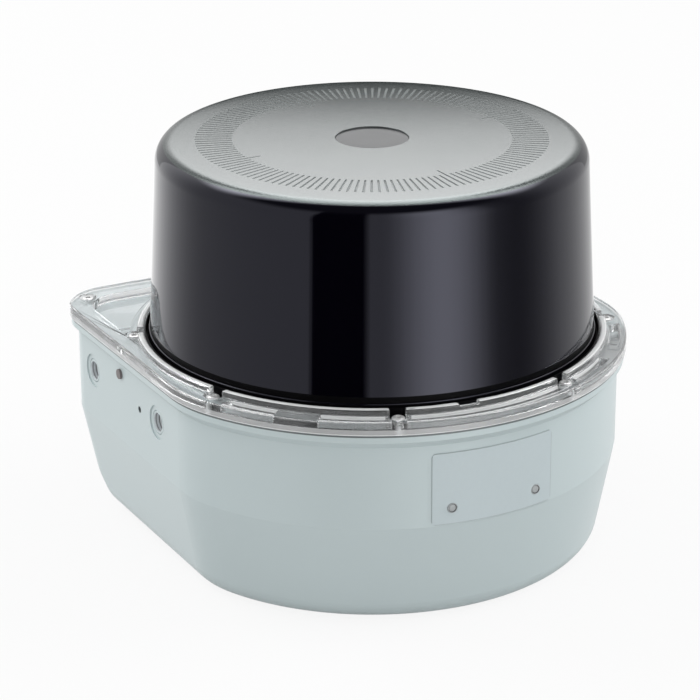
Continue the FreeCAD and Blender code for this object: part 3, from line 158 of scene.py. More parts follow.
def paintVaried(place):
    look, soft = paintLook, paintLook["soft"]
    cloud = place.noise(look["cloudScale"], detail=3.0)
    peel = place.noise(look["peelScale"], detail=1.0)
    across, along, height = place.axes()
    low, high = look["jointShadow"]
    # painted shadow: a dark line along the joint under the frame
    jointShadow = height.ramp(low - soft, low) * (1 - height.ramp(high, high + soft))
    land = height.ramp(*look["land"]) * (-along).ramp(*look["landFront"])
    aside, up = along - look["hole"][0], height - look["hole"][1]
    away = aside.maths("SQRT", aside * aside + up * up)
    inside = 1 - abs(across).ramp(*look["holeMouth"])
    # painted shade inside the locating holes
    hole = inside * (1 - away.ramp(look["holeRadius"], look["holeRadius"] + soft))
    # the painted shadow, the painted shade and the darker landing in one mask, all taking one dark tone
    shadeAndLand = jointShadow.maths("MAXIMUM", jointShadow, land)
    shadeAndLand = shadeAndLand.maths("MAXIMUM", shadeAndLand, hole)
    painted = cloud.shade(look["colour"], *look["shades"])
    return {"Base Color": shadeAndLand.blend(painted, tone(look["colour"], look["shadeAndLandTone"])),
            "Roughness": look["roughness"] + look["roughSpread"] * cloud,
            "Normal": peel.bump(look["peelDepth"])}


# clear plastic in four finishes, each with its haze

clearLook = {"colour": (0.945, 0.955, 0.96, 1.0), "ior": 1.49, "lampShare": 0.98,
             "haze": {"clear": 0.08, "frosted": 0.34, "polished": 0.0, "matt": 0.7},
             "roughness": 0.04, "smoothest": 0.6, "hazeScale": 45.0, "waveScale": 160.0,
             "frostRoughness": 0.12, "frostSpread": 0.1, "frostScale": 2200.0, "depth": 0.000004}


def clearVaried(place):
    wave = place.noise(clearLook["waveScale"], detail=1.0)
    haze = place.noise(clearLook["hazeScale"])
    return {"Roughness": clearLook["roughness"] * (clearLook["smoothest"] + haze),
            "Normal": wave.bump(clearLook["depth"])}


def frostVaried(place):
    grain = place.noise(clearLook["frostScale"], detail=1.0)
    return {"Roughness": clearLook["frostRoughness"] + clearLook["frostSpread"] * grain,
            "Normal": grain.bump(clearLook["depth"])}


def clearFinish(name, varied):
    fixed = {"Base Color": clearLook["colour"], "Transmission Weight": 1 - clearLook["haze"][name],
             "IOR": clearLook["ior"]}
    return finish(name, fixed, varied, clearLook["lampShare"])


# thread of the side mounts: bright at the mouth, with painted shade in its roots and further in, where little
# light comes

threadLook = {"colour": (0.80, 0.84, 0.87), "shades": (0.92, 1.08), "streakScale": 700.0,
              "streakPull": (0.05, 1.0, 1.0), "roughness": 0.4, "roughSpread": 0.1,
              "pitch": 1.0 * mm, "root": 61.675 * mm, "rootHalf": (0.1, 0.25), "rootShadeTone": 0.35,
              "deep": (65.8 * mm, 68.0 * mm), "deepTone": 0.02}


def threadVaried(place):
    look = threadLook
    inward = abs(place.axes()[0])
    turn = inward.maths("FRACT", (inward - look["root"]) / look["pitch"] + 0.5)
    crest = abs(turn - 0.5).ramp(*look["rootHalf"])
    streak = place.noise(look["streakScale"], 3.0, look["streakPull"])
    bright = streak.shade(look["colour"], *look["shades"])
    # painted shade: darker in the thread's roots and further into the bore
    lit = inward.ramp(*look["deep"]) * (look["rootShadeTone"] + (1 - look["rootShadeTone"]) * crest)
    return {"Base Color": lit.blend(tone(look["colour"], look["deepTone"]), bright),
            "Roughness": look["roughness"] + look["roughSpread"] * streak}


# hood: dark gloss at the side, fine grain on top, a smoother disc in the middle

hoodSideLook = {"colour": (0.0011, 0.0009, 0.0025), "shades": (0.85, 1.15), "cloudScale": 18.0, "detail": 3.0,
                "pull": (1.0, 1.0, 0.25), "roughness": 0.035, "roughSpread": 0.02,
                "ior": 1.55, "sheen": (0.81, 0.82, 1.0, 1.0)}
hoodDiscLook = {"colour": (0.05, 0.052, 0.054), "shades": (0.92, 1.08), "cloudScale": 120.0, "detail": 2.0,
                "pull": None, "roughness": 0.3, "roughSpread": 0.06, "shine": 0.18}
hoodTopLook = {"colour": (0.028, 0.034, 0.034), "shades": (0.75, 1.25), "cloudScale": 60.0,
               "grainScale": 1700.0, "grainDepth": 0.00004, "roughness": 0.16, "roughSpread": 0.06,
               "sheen": (0.87, 1.0, 1.0, 1.0)}


def clouded(look):
    # smooth moulding: colour and roughness change slowly
    def varied(place):
        cloud = place.noise(look["cloudScale"], look["detail"], look["pull"])
        return {"Base Color": cloud.shade(look["colour"], *look["shades"]),
                "Roughness": look["roughness"] + look["roughSpread"] * cloud}
    return varied


def hoodTopVaried(place):
    look = hoodTopLook
    grain = place.noise(look["grainScale"])
    cloud = place.noise(look["cloudScale"])
    return {"Base Color": grain.shade(look["colour"], *look["shades"]),
            "Roughness": look["roughness"] + look["roughSpread"] * cloud,
            "Normal": grain.bump(look["grainDepth"])}


# label: plain film with a thin outline

labelLook = {"colour": (0.485, 0.555, 0.575), "shades": (0.98, 1.02), "roughness": 0.42, "roughSpread": 0.05,
             "fibreScale": 900.0, "fibreDepth": 0.000005, "line": (0.36, 0.41, 0.42, 1.0),
             "border": (0.088 * mm, 0.22 * mm), "halfWidth": 19.2 * mm, "halfHeight": 10.7 * mm,
             "middle": 42.2 * mm}


def labelVaried(place):
    look = labelLook
    across, _, height = place.axes()
    toSide = look["halfWidth"] - abs(across)
    toTop = look["halfHeight"] - abs(height - look["middle"])
    edge = toSide.maths("MINIMUM", toSide, toTop)
    line = 1 - edge.ramp(*look["border"])
    fibre = place.noise(look["fibreScale"])
    return {"Base Color": line.blend(fibre.shade(look["colour"], *look["shades"]), look["line"]),
            "Roughness": look["roughness"] + look["roughSpread"] * fibre,
            "Normal": fibre.bump(look["fibreDepth"])}


# finishes that several pieces share

grainLook = {"cloudShare": 0.03, "roughSpread": 0.1}
brushLook = {"shades": (0.88, 1.08), "cloudScale": 35.0, "smoother": 0.04, "streakRough": 0.12,
             "cloudRough": 0.05}
boardLook = {"gap": (0.012, 0.10, 0.04, 1.0), "track": (0.03, 0.19, 0.075, 1.0), "trackScale": 260.0,
             "trackPull": (1.0, 0.35, 1.0), "trackEdge": (0.49, 0.53), "trackDepth": 0.00003,
             "weaveScale": 1600.0, "roughness": 0.32, "roughSpread": 0.12}
windingLook = {"between": (0.30, 0.10, 0.035, 1.0), "wire": (0.62, 0.27, 0.11, 1.0), "scale": 500.0,
               "waver": 1.5, "depth": 0.0001, "roughness": 0.3, "roughSpread": 0.15}


def speckled(colour, roughness, scale, depth, spread=0.08):
    # moulded surface: fine grain in roughness and height, slow changes of colour
    def varied(place):
        grain = place.noise(scale)
        cloud = place.noise(scale * grainLook["cloudShare"])
        return {"Base Color": cloud.shade(colour, 1 - spread, 1 + spread),
                "Roughness": roughness + grainLook["roughSpread"] * (grain - 0.5),
                "Normal": grain.bump(depth)}
    return varied


def brushed(colour, roughness, pull, scale=700.0, depth=0.000004):
    # drawn or turned metal: noise pulled out along one axis
    def varied(place):
        streak = place.noise(scale, 3.0, pull)
        cloud = place.noise(brushLook["cloudScale"])
        rough = roughness - brushLook["smoother"] + brushLook["streakRough"] * streak
        return {"Base Color": streak.shade(colour, *brushLook["shades"]),
                "Roughness": rough + brushLook["cloudRough"] * cloud, "Normal": streak.bump(depth)}
    return varied


def boardVaried(place):
    # solder mask over copper tracks: stepped noise gives the raised runs
    track = place.noise(boardLook["trackScale"], 0.0, boardLook["trackPull"]).ramp(*boardLook["trackEdge"])
    weave = place.noise(boardLook["weaveScale"], detail=1.0)
    return {"Base Color": track.blend(boardLook["gap"], boardLook["track"]),
            "Roughness": boardLook["roughness"] + boardLook["roughSpread"] * weave,
            "Normal": track.bump(boardLook["trackDepth"])}


def windingVaried(place):
    # turns of enamelled wire: ridges in height
    ridge = place.node("TexWave", {"bands_direction": "Z"},
                       {"Vector": place, "Scale": windingLook["scale"], "Distortion": windingLook["waver"]})
    return {"Base Color": ridge.blend(windingLook["between"], windingLook["wire"]),
            "Roughness": windingLook["roughness"] + windingLook["roughSpread"] * ridge,
            "Normal": ridge.bump(windingLook["depth"])}


metal = {"Metallic": 1.0}
looks = {
    "paint": finish("paint", {}, paintVaried),
    "clear": clearFinish("clear", clearVaried),
    "frosted": clearFinish("frosted", frostVaried),
    "polished": clearFinish("polished", clearVaried),
    "matt": clearFinish("matt", frostVaried),
    "hoodSide": finish("hoodSide", {"IOR": hoodSideLook["ior"], "Specular Tint": hoodSideLook["sheen"]},
                       clouded(hoodSideLook)),
    "hoodTop": finish("hoodTop", {"Specular Tint": hoodTopLook["sheen"]}, hoodTopVaried),
    "hoodDisc": finish("hoodDisc", {"Specular IOR Level": hoodDiscLook["shine"]}, clouded(hoodDiscLook)),
    "hoodMark": finish("hoodMark", {"Specular IOR Level": 0.2},
                       speckled((0.27, 0.288, 0.288), 0.6, 1500.0, 0.00001)),
    "hoodFoot": finish("hoodFoot", {"Specular IOR Level": 0.06},
                       speckled((0.0014, 0.0013, 0.0018), 0.4, 900.0, 0.000004)),
    "label": finish("label", {}, labelVaried),
    "lightGuide": finish("lightGuide", {}, speckled((0.38, 0.40, 0.405), 0.3, 900.0, 0.00002, 0.15)),
    # painted shade: the darker colour in the groove round each status light
    "lightGrooveShade": finish("lightGrooveShade", {}, speckled((0.16, 0.17, 0.175), 0.4, 900.0, 0.00001)),
    "steel": finish("steel", metal, brushed((0.62, 0.62, 0.63), 0.26, (1.0, 1.0, 0.05))),
    "headSteel": finish("headSteel", {"Metallic": 0.6}, brushed((0.80, 0.80, 0.80), 0.3, (1.0, 1.0, 0.05))),
    "thread": finish("thread", {"Metallic": 0.2}, threadVaried),
    "blackPlastic": finish("blackPlastic", {}, speckled((0.022, 0.022, 0.024), 0.45, 1500.0, 0.00001)),
    "ventPlastic": finish("ventPlastic", {}, speckled((0.15, 0.13, 0.13), 0.4, 1500.0, 0.00001)),
    "rubber": finish("rubber", {}, speckled((0.018, 0.018, 0.018), 0.7, 900.0, 0.00001)),
    "nickel": finish("nickel", metal, brushed((0.68, 0.66, 0.61), 0.2, (1.0, 0.1, 0.1))),
    "gold": finish("gold", metal, brushed((0.90, 0.66, 0.26), 0.18, (1.0, 1.0, 0.1))),
    "board": finish("board", {}, boardVaried),
    "aluminium": finish("aluminium", metal, brushed((0.74, 0.75, 0.77), 0.3, (0.08, 0.08, 1.0))),
    "lens": finish("lens", {"Transmission Weight": 1.0, "IOR": 1.52, "Coat Weight": 0.3},
                   speckled((0.86, 0.90, 0.95), 0.07, 60.0, 0.000001, 0.02)),
    "satinSteel": finish("satinSteel", metal, brushed((0.5, 0.51, 0.53), 0.35, (1.0, 0.1, 1.0))),
    "iron": finish("iron", metal, brushed((0.24, 0.24, 0.26), 0.4, (0.05, 0.05, 1.0), 900.0, 0.00002)),
    "winding": finish("winding", {"Metallic": 0.7}, windingVaried),
    "mirror": finish("mirror", metal, brushed((0.93, 0.93, 0.95), 0.05, (1.0, 1.0, 1.0), 200.0, 0.0000005)),
    "brass": finish("brass", metal, brushed((0.80, 0.60, 0.28), 0.25, (0.1, 0.1, 1.0))),
}
nodeLooks = {  # nodes that are shown as they were packed
    "paint": ["base_housing"],
    "label": ["front_label"],
    "steel": ["board_screws", "chassis_screws", "detector_screws", "carrier_screws",
              "lower_bearing", "upper_bearing", "bearing_spacer", "bearing_retainer"],
    "ventPlastic": ["vent_plug"],
    "blackPlastic": ["power_connector_insert", "signal_connector_insert", "data_connector_insert",
                     "processor_chip", "board_headers", "supply_capacitors", "encoder_reader",
                     "laser_barrel"],
    "rubber": ["hood_seal"],
    "nickel": ["power_connector_nut", "signal_connector_nut", "data_connector_nut"],
    "gold": ["connector_pins"],
    "board": ["main_board", "detector_board"],
    "aluminium": ["scanner_chassis", "rotor_hub", "mirror_carrier"],
    "lens": ["receiver_lens"],
    "satinSteel": ["light_detector", "encoder_disc"],
    "iron": ["stator_core", "rotor_magnet"],
    "winding": ["stator_coils"],
    "mirror": ["scan_mirror"],
    "brass": ["balance_weight"],
}
for look, names in nodeLooks.items():
    for name in names:
        nodes[name].data.materials.clear()
        nodes[name].data.materials.append(looks[look])
print("finishes made,", len(looks))


# surfaces

def putMesh(name, points, quads, triangles, materials, faceLooks=None, sharp=35.0):
    # whole arrays into one mesh: quads first, then triangles
    mesh = bpy.data.meshes.new(name)
    corners = np.concatenate([quads.ravel(), triangles.ravel()]).astype(np.int32)
    sizes = np.concatenate([np.full(len(quads), 4), np.full(len(triangles), 3)])
    starts = np.concatenate([[0], np.cumsum(sizes)[:-1]]).astype(np.int32)
    mesh.vertices.add(len(points))
    mesh.vertices.foreach_set("co", points.astype(np.float32).ravel())
    mesh.loops.add(len(corners))
    mesh.loops.foreach_set("vertex_index", corners)
    mesh.polygons.add(len(sizes))
    mesh.polygons.foreach_set("loop_start", starts)
    mesh.polygons.foreach_set("use_smooth", np.ones(len(sizes), bool))
    for material in materials:
        mesh.materials.append(material)
    if faceLooks is not None:
        mesh.polygons.foreach_set("material_index", faceLooks.astype(np.int32))
    mesh.update(calc_edges=True)
    mesh.validate()
    mesh.set_sharp_from_angle(angle=math.radians(sharp))
    piece = bpy.data.objects.new(name, mesh)
    bpy.context.scene.collection.objects.link(piece)
    return piece


def putSheet(name, corners, material):
    return putMesh(name, np.array(corners), np.array([[0, 1, 2, 3]]), np.zeros((0, 3), int), [material])


def readRows(items, field):
    # one vector for each vertex or face, as rows
    rows = np.empty(len(items) * 3, np.float32)
    items.foreach_get(field, rows)
    return rows.reshape(-1, 3)


def turnedSurface(profile, turns, shape=None):
    # P(u, v) = (r(v) sin u, -r(v) cos u, z(v)), u from the front towards +X, v along the profile.
    # A row with r = 0 closes to one point; with no such row, the last row joins the first.
    # shape(r, z, u) may move r and z where the surface isn't a plain turning.
    profile = np.asarray(profile, float)
    poles = profile[:, 0] == 0
    rings = profile[~poles]
    r = np.repeat(rings[:, :1], len(turns), 1)
    z = np.repeat(rings[:, 1:], len(turns), 1)
    if shape is not None:
        r, z = shape(r, z, turns[None, :])
    points = np.stack([r * np.sin(turns), -r * np.cos(turns), z], -1).reshape(-1, 3)
    rows, columns = r.shape
    index = np.arange(rows * columns).reshape(rows, columns)
    following = np.roll(index, -1, axis=1)
    quads = np.stack([index, np.roll(index, -1, axis=0), np.roll(following, -1, axis=0), following], -1)
    if poles.any():
        quads = quads[:-1]
    quads = quads.reshape(-1, 4)
    triangles = np.zeros((0, 3), int)
    if poles[0]:
        points = np.vstack([points, [0, 0, profile[0, 1]]])
        pole = np.full(columns, len(points) - 1)
        triangles = np.vstack([triangles, np.stack([pole, index[0], following[0]], -1)])
    if poles[-1]:
        points = np.vstack([points, [0, 0, profile[-1, 1]]])
        pole = np.full(columns, len(points) - 1)
        triangles = np.vstack([triangles, np.stack([pole, following[-1], index[-1]], -1)])
    return points, quads, triangles


def evenTurns(count):
    return np.arange(count) / count * tau


def toPlace(points, origin, along):
    # carries local Z onto along and local X onto the frame's X, or Y where along is X
    along = np.asarray(along, float) / np.linalg.norm(along)
    first = np.array([0.0, 1.0, 0.0]) if abs(along[0]) > 0.9 else np.array([1.0, 0.0, 0.0])
    second = np.cross(along, first)
    return points @ np.stack([first, second, along]) + np.asarray(origin, float)


def manyOf(shape, copies):
    # one mesh of the same surface at several places: copies holds the points of each
    points, quads, triangles = shape
    steps = len(points) * np.arange(len(copies))[:, None, None]
    return np.concatenate(copies), (quads + steps).reshape(-1, 4), (triangles + steps).reshape(-1, 3)


def ridges(low, high, crest, root, pitch):
    # thread in section: crest and root in turn from low to high, as rings
    steps = np.arange(0, int((high - low) / pitch) * 4 + 1)
    height = low + steps * pitch / 4
    radius = np.array([root, crest, crest, root])[steps % 4]
    return np.stack([radius, height], -1)


# optic hood: drafted cup with grooves round its top

hood = {"base": 60.0, "top": 122.0, "topRadius": 62.5, "footRadius": 65.6, "footHeight": 63.4, "wall": 2.6,
        "round": 5.6, "roundSteps": 14, "sideSteps": 7, "topRings": [20, 28, 45, 54],
        "innerRound": 3.0, "innerSteps": 8, "innerRows": 4, "ceilingRing": 30.0,
        "disc": 10.6, "discDepth": 0.5, "discMiddle": 4.0,
        # out from the disc's radius and up from the top
        "discEdge": ((-0.55, -0.5), (-0.1, -0.45), (0.0, -0.12), (0.15, 0.0), (0.6, 0.0)),
        "bandTop": 67.6, "lineTop": 65.75, "lineStep": 0.25,
        # out from the side and down from lineTop, as shares of lineStep
        "lineCurve": ((0.3, 0.05), (0.7, 0.3), (0.95, 0.7), (1.0, 1.2)),
        # out from the foot's radius and up from its height
        "footCurve": ((0.3, 0.1), (0.45, 0.0), (0.65, -0.02), (0.8, -0.18)),
        "bead": 66.4, "rim": (66.6, 67.0, 65.1), "rimEdge": 0.1,
        "flange": 68.0, "flangeTop": 62.2, "flangeEdge": 0.2,
        "grooves": 144, "longEvery": 36, "grooveDepth": 0.35, "grooveHalf": 0.27, "grooveWall": 0.07,
        "grooveInner": 40.45, "grooveLong": 36.4, "grooveOuter": 50.95, "grooveMiddle": 46.0,
        "grooveEnd": 0.105, "groovePhase": math.radians(1.5), "near": 0.02,
        "discRows": 3, "grainRows": 4, "footInside": 2}


def edgeRound(radius, top, lean, outerAt, steps):
    # arc from a level top to a leaning wall: centre + radius (cos a, sin a),
    # a from 90 degrees to the wall's normal
    wallTurn = math.atan(lean)
    centre = outerAt(top - radius) - radius / math.cos(wallTurn), top - radius
    sweep = np.linspace(math.pi / 2, wallTurn, steps)
    return np.stack([centre[0] + radius * np.cos(sweep), centre[1] + radius * np.sin(sweep)], -1)


def hoodProfile():
    # from the middle of the top over the side, the foot and the flange to the middle of the inside
    h = hood
    lean = (h["footRadius"] - h["topRadius"]) / (h["top"] - h["footHeight"])

    def outerAt(z):
        return h["topRadius"] + (h["top"] - z) * lean

    def innerAt(z):
        return outerAt(z) - h["wall"]

    grooveEnds = [end + side * h["grooveEnd"] for end in (h["grooveLong"], h["grooveInner"], h["grooveOuter"])
                  for side in (-1, 1)]
    floor = h["top"] - h["discDepth"]
    top = [(0, floor), (h["discMiddle"], floor)]
    top += [(h["disc"] + out, h["top"] + up) for out, up in h["discEdge"]]
    top += [(r, h["top"]) for r in sorted(grooveEnds + h["topRings"])]
    arc = edgeRound(h["round"], h["top"], lean, outerAt, h["roundSteps"])
    heights = np.append(np.linspace(arc[-1, 1], h["bandTop"], h["sideSteps"])[1:], h["lineTop"])
    side = np.stack([outerAt(heights), heights], -1)
    step, lineFrom = h["lineStep"], outerAt(h["lineTop"])
    line = [(lineFrom + step * out, h["lineTop"] - step * down) for out, down in h["lineCurve"]]
    rimIn, rimOut, rimTop = h["rim"]
    edge, flangeIn = h["rimEdge"], h["flange"] - h["flangeEdge"]
    foot = [(h["footRadius"] + out, h["footHeight"] + up) for out, up in h["footCurve"]]
    foot += [(h["bead"], h["flangeTop"]), (rimIn, h["flangeTop"]), (rimIn, rimTop - edge),
             (rimIn + edge, rimTop), (rimOut - edge, rimTop), (rimOut, rimTop - edge)]
    foot += [(rimOut, h["flangeTop"]), (flangeIn, h["flangeTop"]),
             (h["flange"], h["flangeTop"] - h["flangeEdge"]), (h["flange"], h["base"] + h["flangeEdge"]),
             (flangeIn, h["base"])]
    innerTop = h["top"] - h["wall"]
    innerArc = edgeRound(h["innerRound"], innerTop, lean, innerAt, h["innerSteps"])
    inner = [(innerAt(z), z) for z in np.linspace(h["base"], innerArc[-1, 1], h["innerRows"])[:-1]]
    ceiling = [(h["ceilingRing"], innerTop), (0, innerTop)]
    # rows of faces by zone: a row lies between two rings, and the first point is no ring
    band = len(top) + len(arc) + len(side) - 3
    lineEnd = band + len(line)
    rows = {"disc": h["discRows"], "marks": len(top) - 1, "grain": len(top) + h["grainRows"], "band": band,
            "line": lineEnd, "foot": lineEnd + len(foot) + h["footInside"]}
    return np.vstack([top, arc, side, line, foot, inner, innerArc[::-1], ceiling]), rows


def hoodGrooves(r, z, u):
    # each groove is cut straight down by grooveDepth where both its widths hold
    h = hood
    pitch = tau / h["grooves"]
    number = np.round((u - h["groovePhase"]) / pitch).astype(int)
    off = np.abs(u - h["groovePhase"] - number * pitch) * h["grooveMiddle"]
    across = np.clip((h["grooveHalf"] + h["grooveWall"] - off) / h["grooveWall"], 0, 1)
    start = np.where(number % h["longEvery"] == 0, h["grooveLong"], h["grooveInner"])
    along = (r > start) & (r < h["grooveOuter"]) & (z > h["top"] - h["near"])
    return r, z - h["grooveDepth"] * across * along


def makeHood():
    h = hood
    pitch = tau / h["grooves"]
    wide = h["grooveHalf"] + h["grooveWall"]
    edges = np.array([-wide, -h["grooveHalf"], h["grooveHalf"], wide]) / h["grooveMiddle"]
    offsets = np.append(edges, pitch / 2)
    turns = h["groovePhase"] + (np.arange(h["grooves"])[:, None] * pitch + offsets).ravel()
    profile, rows = hoodProfile()
    points, quads, triangles = turnedSurface(profile, turns, hoodGrooves)
    row = np.arange(len(quads)) // len(turns)
    corners = points[quads]
    reach = np.hypot(corners[..., 0], corners[..., 1])
    cut = (corners[..., 2].min(1) < h["top"] - h["near"]) & (reach.min(1) > h["grooveLong"] - 1)
    order = ("hoodSide", "hoodTop", "hoodDisc", "hoodFoot", "hoodMark")
    side, top, disc, foot, mark = range(len(order))
    faceLooks = np.full(len(quads), side)
    faceLooks[row < rows["grain"]] = top
    faceLooks[row < rows["disc"]] = disc
    faceLooks[cut & (row < rows["marks"])] = mark
    faceLooks[(row == rows["band"]) | (row > rows["line"]) & (row <= rows["foot"])] = foot
    fans = np.repeat([disc, side], len(triangles) // 2)
    piece = putMesh("opticHood", points * mm, quads, triangles, [looks[look] for look in order],
                    np.append(faceLooks, fans), sharp=30.0)
    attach(piece, "sensor_base")
    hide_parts("optic_hood")
    print("hood made,", len(quads), "faces")


makeHood()


# clear cover frame: the CAD form with its corners softened as a mould leaves them

cover = {"soften": 0.22, "lipSoften": 0.6, "segments": 2, "corner": 38.0, "sharp": 30.0, "merge": 0.002,
         "lift": 0.05,
         # heights where one finish ends and the next begins
         "edge": 60.4, "frost": 61.8, "wall": 62.7, "plateTop": 63.8, "lipTop": 65.4,
         "lipOuter": 69.2, "channel": (70.0, 73.0), "channelFloor": 61.5, "front": -30.0, "near": 0.15,
         "upright": 0.6, "level": 0.9, "sweep": 720, "outside": 0.4}


def softened(name, node):
    # a merged copy of the node's mesh; the bevel runs along edges that turn by more than corner degrees,
    # wider on the lip. The underside is lifted by a hair, so that it and what it lies on aren't one plane.
    c = cover
    mesh = nodes[node].data.copy()
    mesh.name = name
    work = bmesh.new()
    work.from_mesh(mesh)
    bmesh.ops.remove_doubles(work, verts=work.verts, dist=c["merge"] * mm)
    for height in (c["edge"], c["frost"], c["wall"]):  # faces part here, so that each can have its own finish
        bmesh.ops.bisect_plane(work, geom=work.verts[:] + work.edges[:] + work.faces[:], dist=1e-7,
                               plane_co=(0, 0, height * mm), plane_no=(0, 0, 1))
    weight = work.edges.layers.float.new("bevel_weight_edge")
    for side in work.edges:
        if len(side.link_faces) == 2 and side.calc_face_angle() > math.radians(c["corner"]):
            onLip = min(end.co.z for end in side.verts) > (c["lipTop"] - c["merge"]) * mm
            side[weight] = 1.0 if onLip else c["soften"] / c["lipSoften"]
    work.to_mesh(mesh)
    work.free()
    points = readRows(mesh.vertices, "co")
    points[points[:, 2] < points[:, 2].min() + c["merge"] * mm, 2] += c["lift"] * mm
    mesh.vertices.foreach_set("co", points.ravel())
    mesh.attributes.remove(mesh.attributes["custom_normal"])  # made for the loose triangles
    mesh.polygons.foreach_set("use_smooth", np.ones(len(mesh.polygons), bool))
    mesh.set_sharp_from_angle(angle=math.radians(c["sharp"]))
    piece = bpy.data.objects.new(name, mesh)
    bpy.context.scene.collection.objects.link(piece)
    bevel = piece.modifiers.new("softEdge", "BEVEL")
    bevel.width, bevel.segments = c["lipSoften"] * mm, c["segments"]
    bevel.limit_method = "WEIGHT"
    bevel.use_clamp_overlap = False
    evened = piece.modifiers.new("evenNormals", "WEIGHTED_NORMAL")
    evened.keep_sharp = True
    return piece


def coverLooks(mesh, clear, frosted, polished, matt):
    # the finish of each face, by its height, its distance from the axis and the way it faces
    c, near = cover, cover["near"]
    normals, centres = readRows(mesh.polygons, "normal"), readRows(mesh.polygons, "center")
    plan = readRows(mesh.vertices, "co")[:, :2]
    sweep = evenTurns(c["sweep"])
    furthest = (plan @ np.stack([np.cos(sweep), np.sin(sweep)])).max(0)
    turn = np.arctan2(normals[:, 1], normals[:, 0])
    along = centres[:, 0] * np.cos(turn) + centres[:, 1] * np.sin(turn)
    limit = furthest[np.round(turn / tau * c["sweep"]).astype(int) % c["sweep"]]
    upright, level = np.abs(normals[:, 2]) < c["upright"], normals[:, 2] > c["level"]
    # in plan, nothing lies further out along the normal of an outside face
    outside = upright & (limit - along < c["outside"] * mm)
    high, reach = centres[:, 2] / mm, np.hypot(centres[:, 0], centres[:, 1]) / mm
    front = centres[:, 1] / mm < c["front"]
    inner, outer = c["channel"]
    inChannel = (reach > inner - 1) & (reach < outer + 1)
    belowPlate = (high > c["wall"]) & (high < c["plateTop"])
    lip = upright & (np.abs(reach - c["lipOuter"]) < near) & (high > c["plateTop"] - near)
    floor = front & level & (np.abs(high - c["channelFloor"]) < near) & inChannel
    channelWall = front & upright & (np.abs(reach - inner) < near) & belowPlate
    found = np.full(len(centres), clear, np.int32)
    found[outside & (high < c["frost"])] = frosted
    found[lip | floor | front & outside & (high > c["frost"])] = polished
    found[channelWall | outside & (high < c["edge"]) | level & (high > c["lipTop"] - near)] = matt
    return found


def makeCover():
    piece = softened("coverFrame", "clear_frame")
    order = ("clear", "frosted", "polished", "matt")
    piece.data.materials.clear()
    for look in order:
        piece.data.materials.append(looks[look])
    found = coverLooks(piece.data, *range(len(order)))
    piece.data.polygons.foreach_set("material_index", found)
    print("cover faces by finish", np.bincount(found))
    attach(piece, "sensor_base")
    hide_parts("clear_frame")
    print("cover made,", len(piece.data.polygons), "faces")


makeCover()


# frame screws: pan heads with a six-lobed drive

screw = {"circle": 70.0, "first": 22.5, "count": 8, "corner": (64.2, 62.6), "seat": 62.25, "columns": 48,
         "headRadius": 1.9, "headHeight": 1.5, "edge": 0.1, "shank": 0.98, "length": 7.05, "tip": (0.35, 0.4),
         # in from the head's side and down from its top
         "headRound": ((0.6, 0.0), (0.25, 0.15), (0.05, 0.45), (0.0, 0.75)),
         "drive": 0.85, "driveFloor": 0.765, "driveDepth": 0.9, "driveEdge": (0.1, 0.08),
         "lobe": 0.13, "lobeReach": 1.05, "lobeFloor": 0.5}


def makeScrews():
    s = screw
    top, edge = s["headHeight"], s["edge"]
    edgeOut, edgeDown = s["driveEdge"]
    tipIn, tipHigh = s["tip"]
    floor = top - s["driveDepth"]
    drive = [(0, floor), (s["driveFloor"], floor), (s["drive"], top - edgeDown), (s["drive"] + edgeOut, top)]
    head = [(s["headRadius"] - inward, top - down) for inward, down in s["headRound"]]
    head += [(s["headRadius"], edge), (s["headRadius"] - edge, 0)]
    shank = [(s["shank"] + edge, 0), (s["shank"], -edge), (s["shank"], tipHigh - s["length"]),
             (s["shank"] - tipIn, -s["length"]), (0, -s["length"])]

    def lobes(r, z, u):  # the drive's wall waves six times round
        wave = (r < s["lobeReach"]) & (z > s["lobeFloor"])
        return r + wave * s["lobe"] * np.cos(6 * u), z

    turns = np.radians(s["first"] + 360 / s["count"] * np.arange(s["count"]))
    spots = [(s["circle"] * math.sin(a), -s["circle"] * math.cos(a)) for a in turns]
    spots += [(side * s["corner"][0], s["corner"][1]) for side in (-1, 1)]
    shape = turnedSurface(drive + head + shank, evenTurns(s["columns"]), lobes)
    points, quads, triangles = manyOf(shape, [shape[0] + (*spot, s["seat"]) for spot in spots])
    piece = putMesh("frameScrews", points * mm, quads, triangles, [looks["headSteel"]])
    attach(piece, "sensor_base")
    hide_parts("frame_screws")
    print("screws made,", len(spots))


makeScrews()


# status lights: low domes in a groove, the groove coloured darker as painted shade

light = {"across": 13.4, "height": 36.25, "radius": 1.45, "length": 8.0, "columns": 40,
         "dome": 0.95, "domeSteps": (0, 0.3, 0.55, 0.8, 1.0), "sag": 0.14, "domeFoot": 0.2,
         "groove": (1.05, 1.2, 0.4), "grooveRows": 3, "edgeIn": 0.06, "edgeDown": 0.1, "face": 0.03}


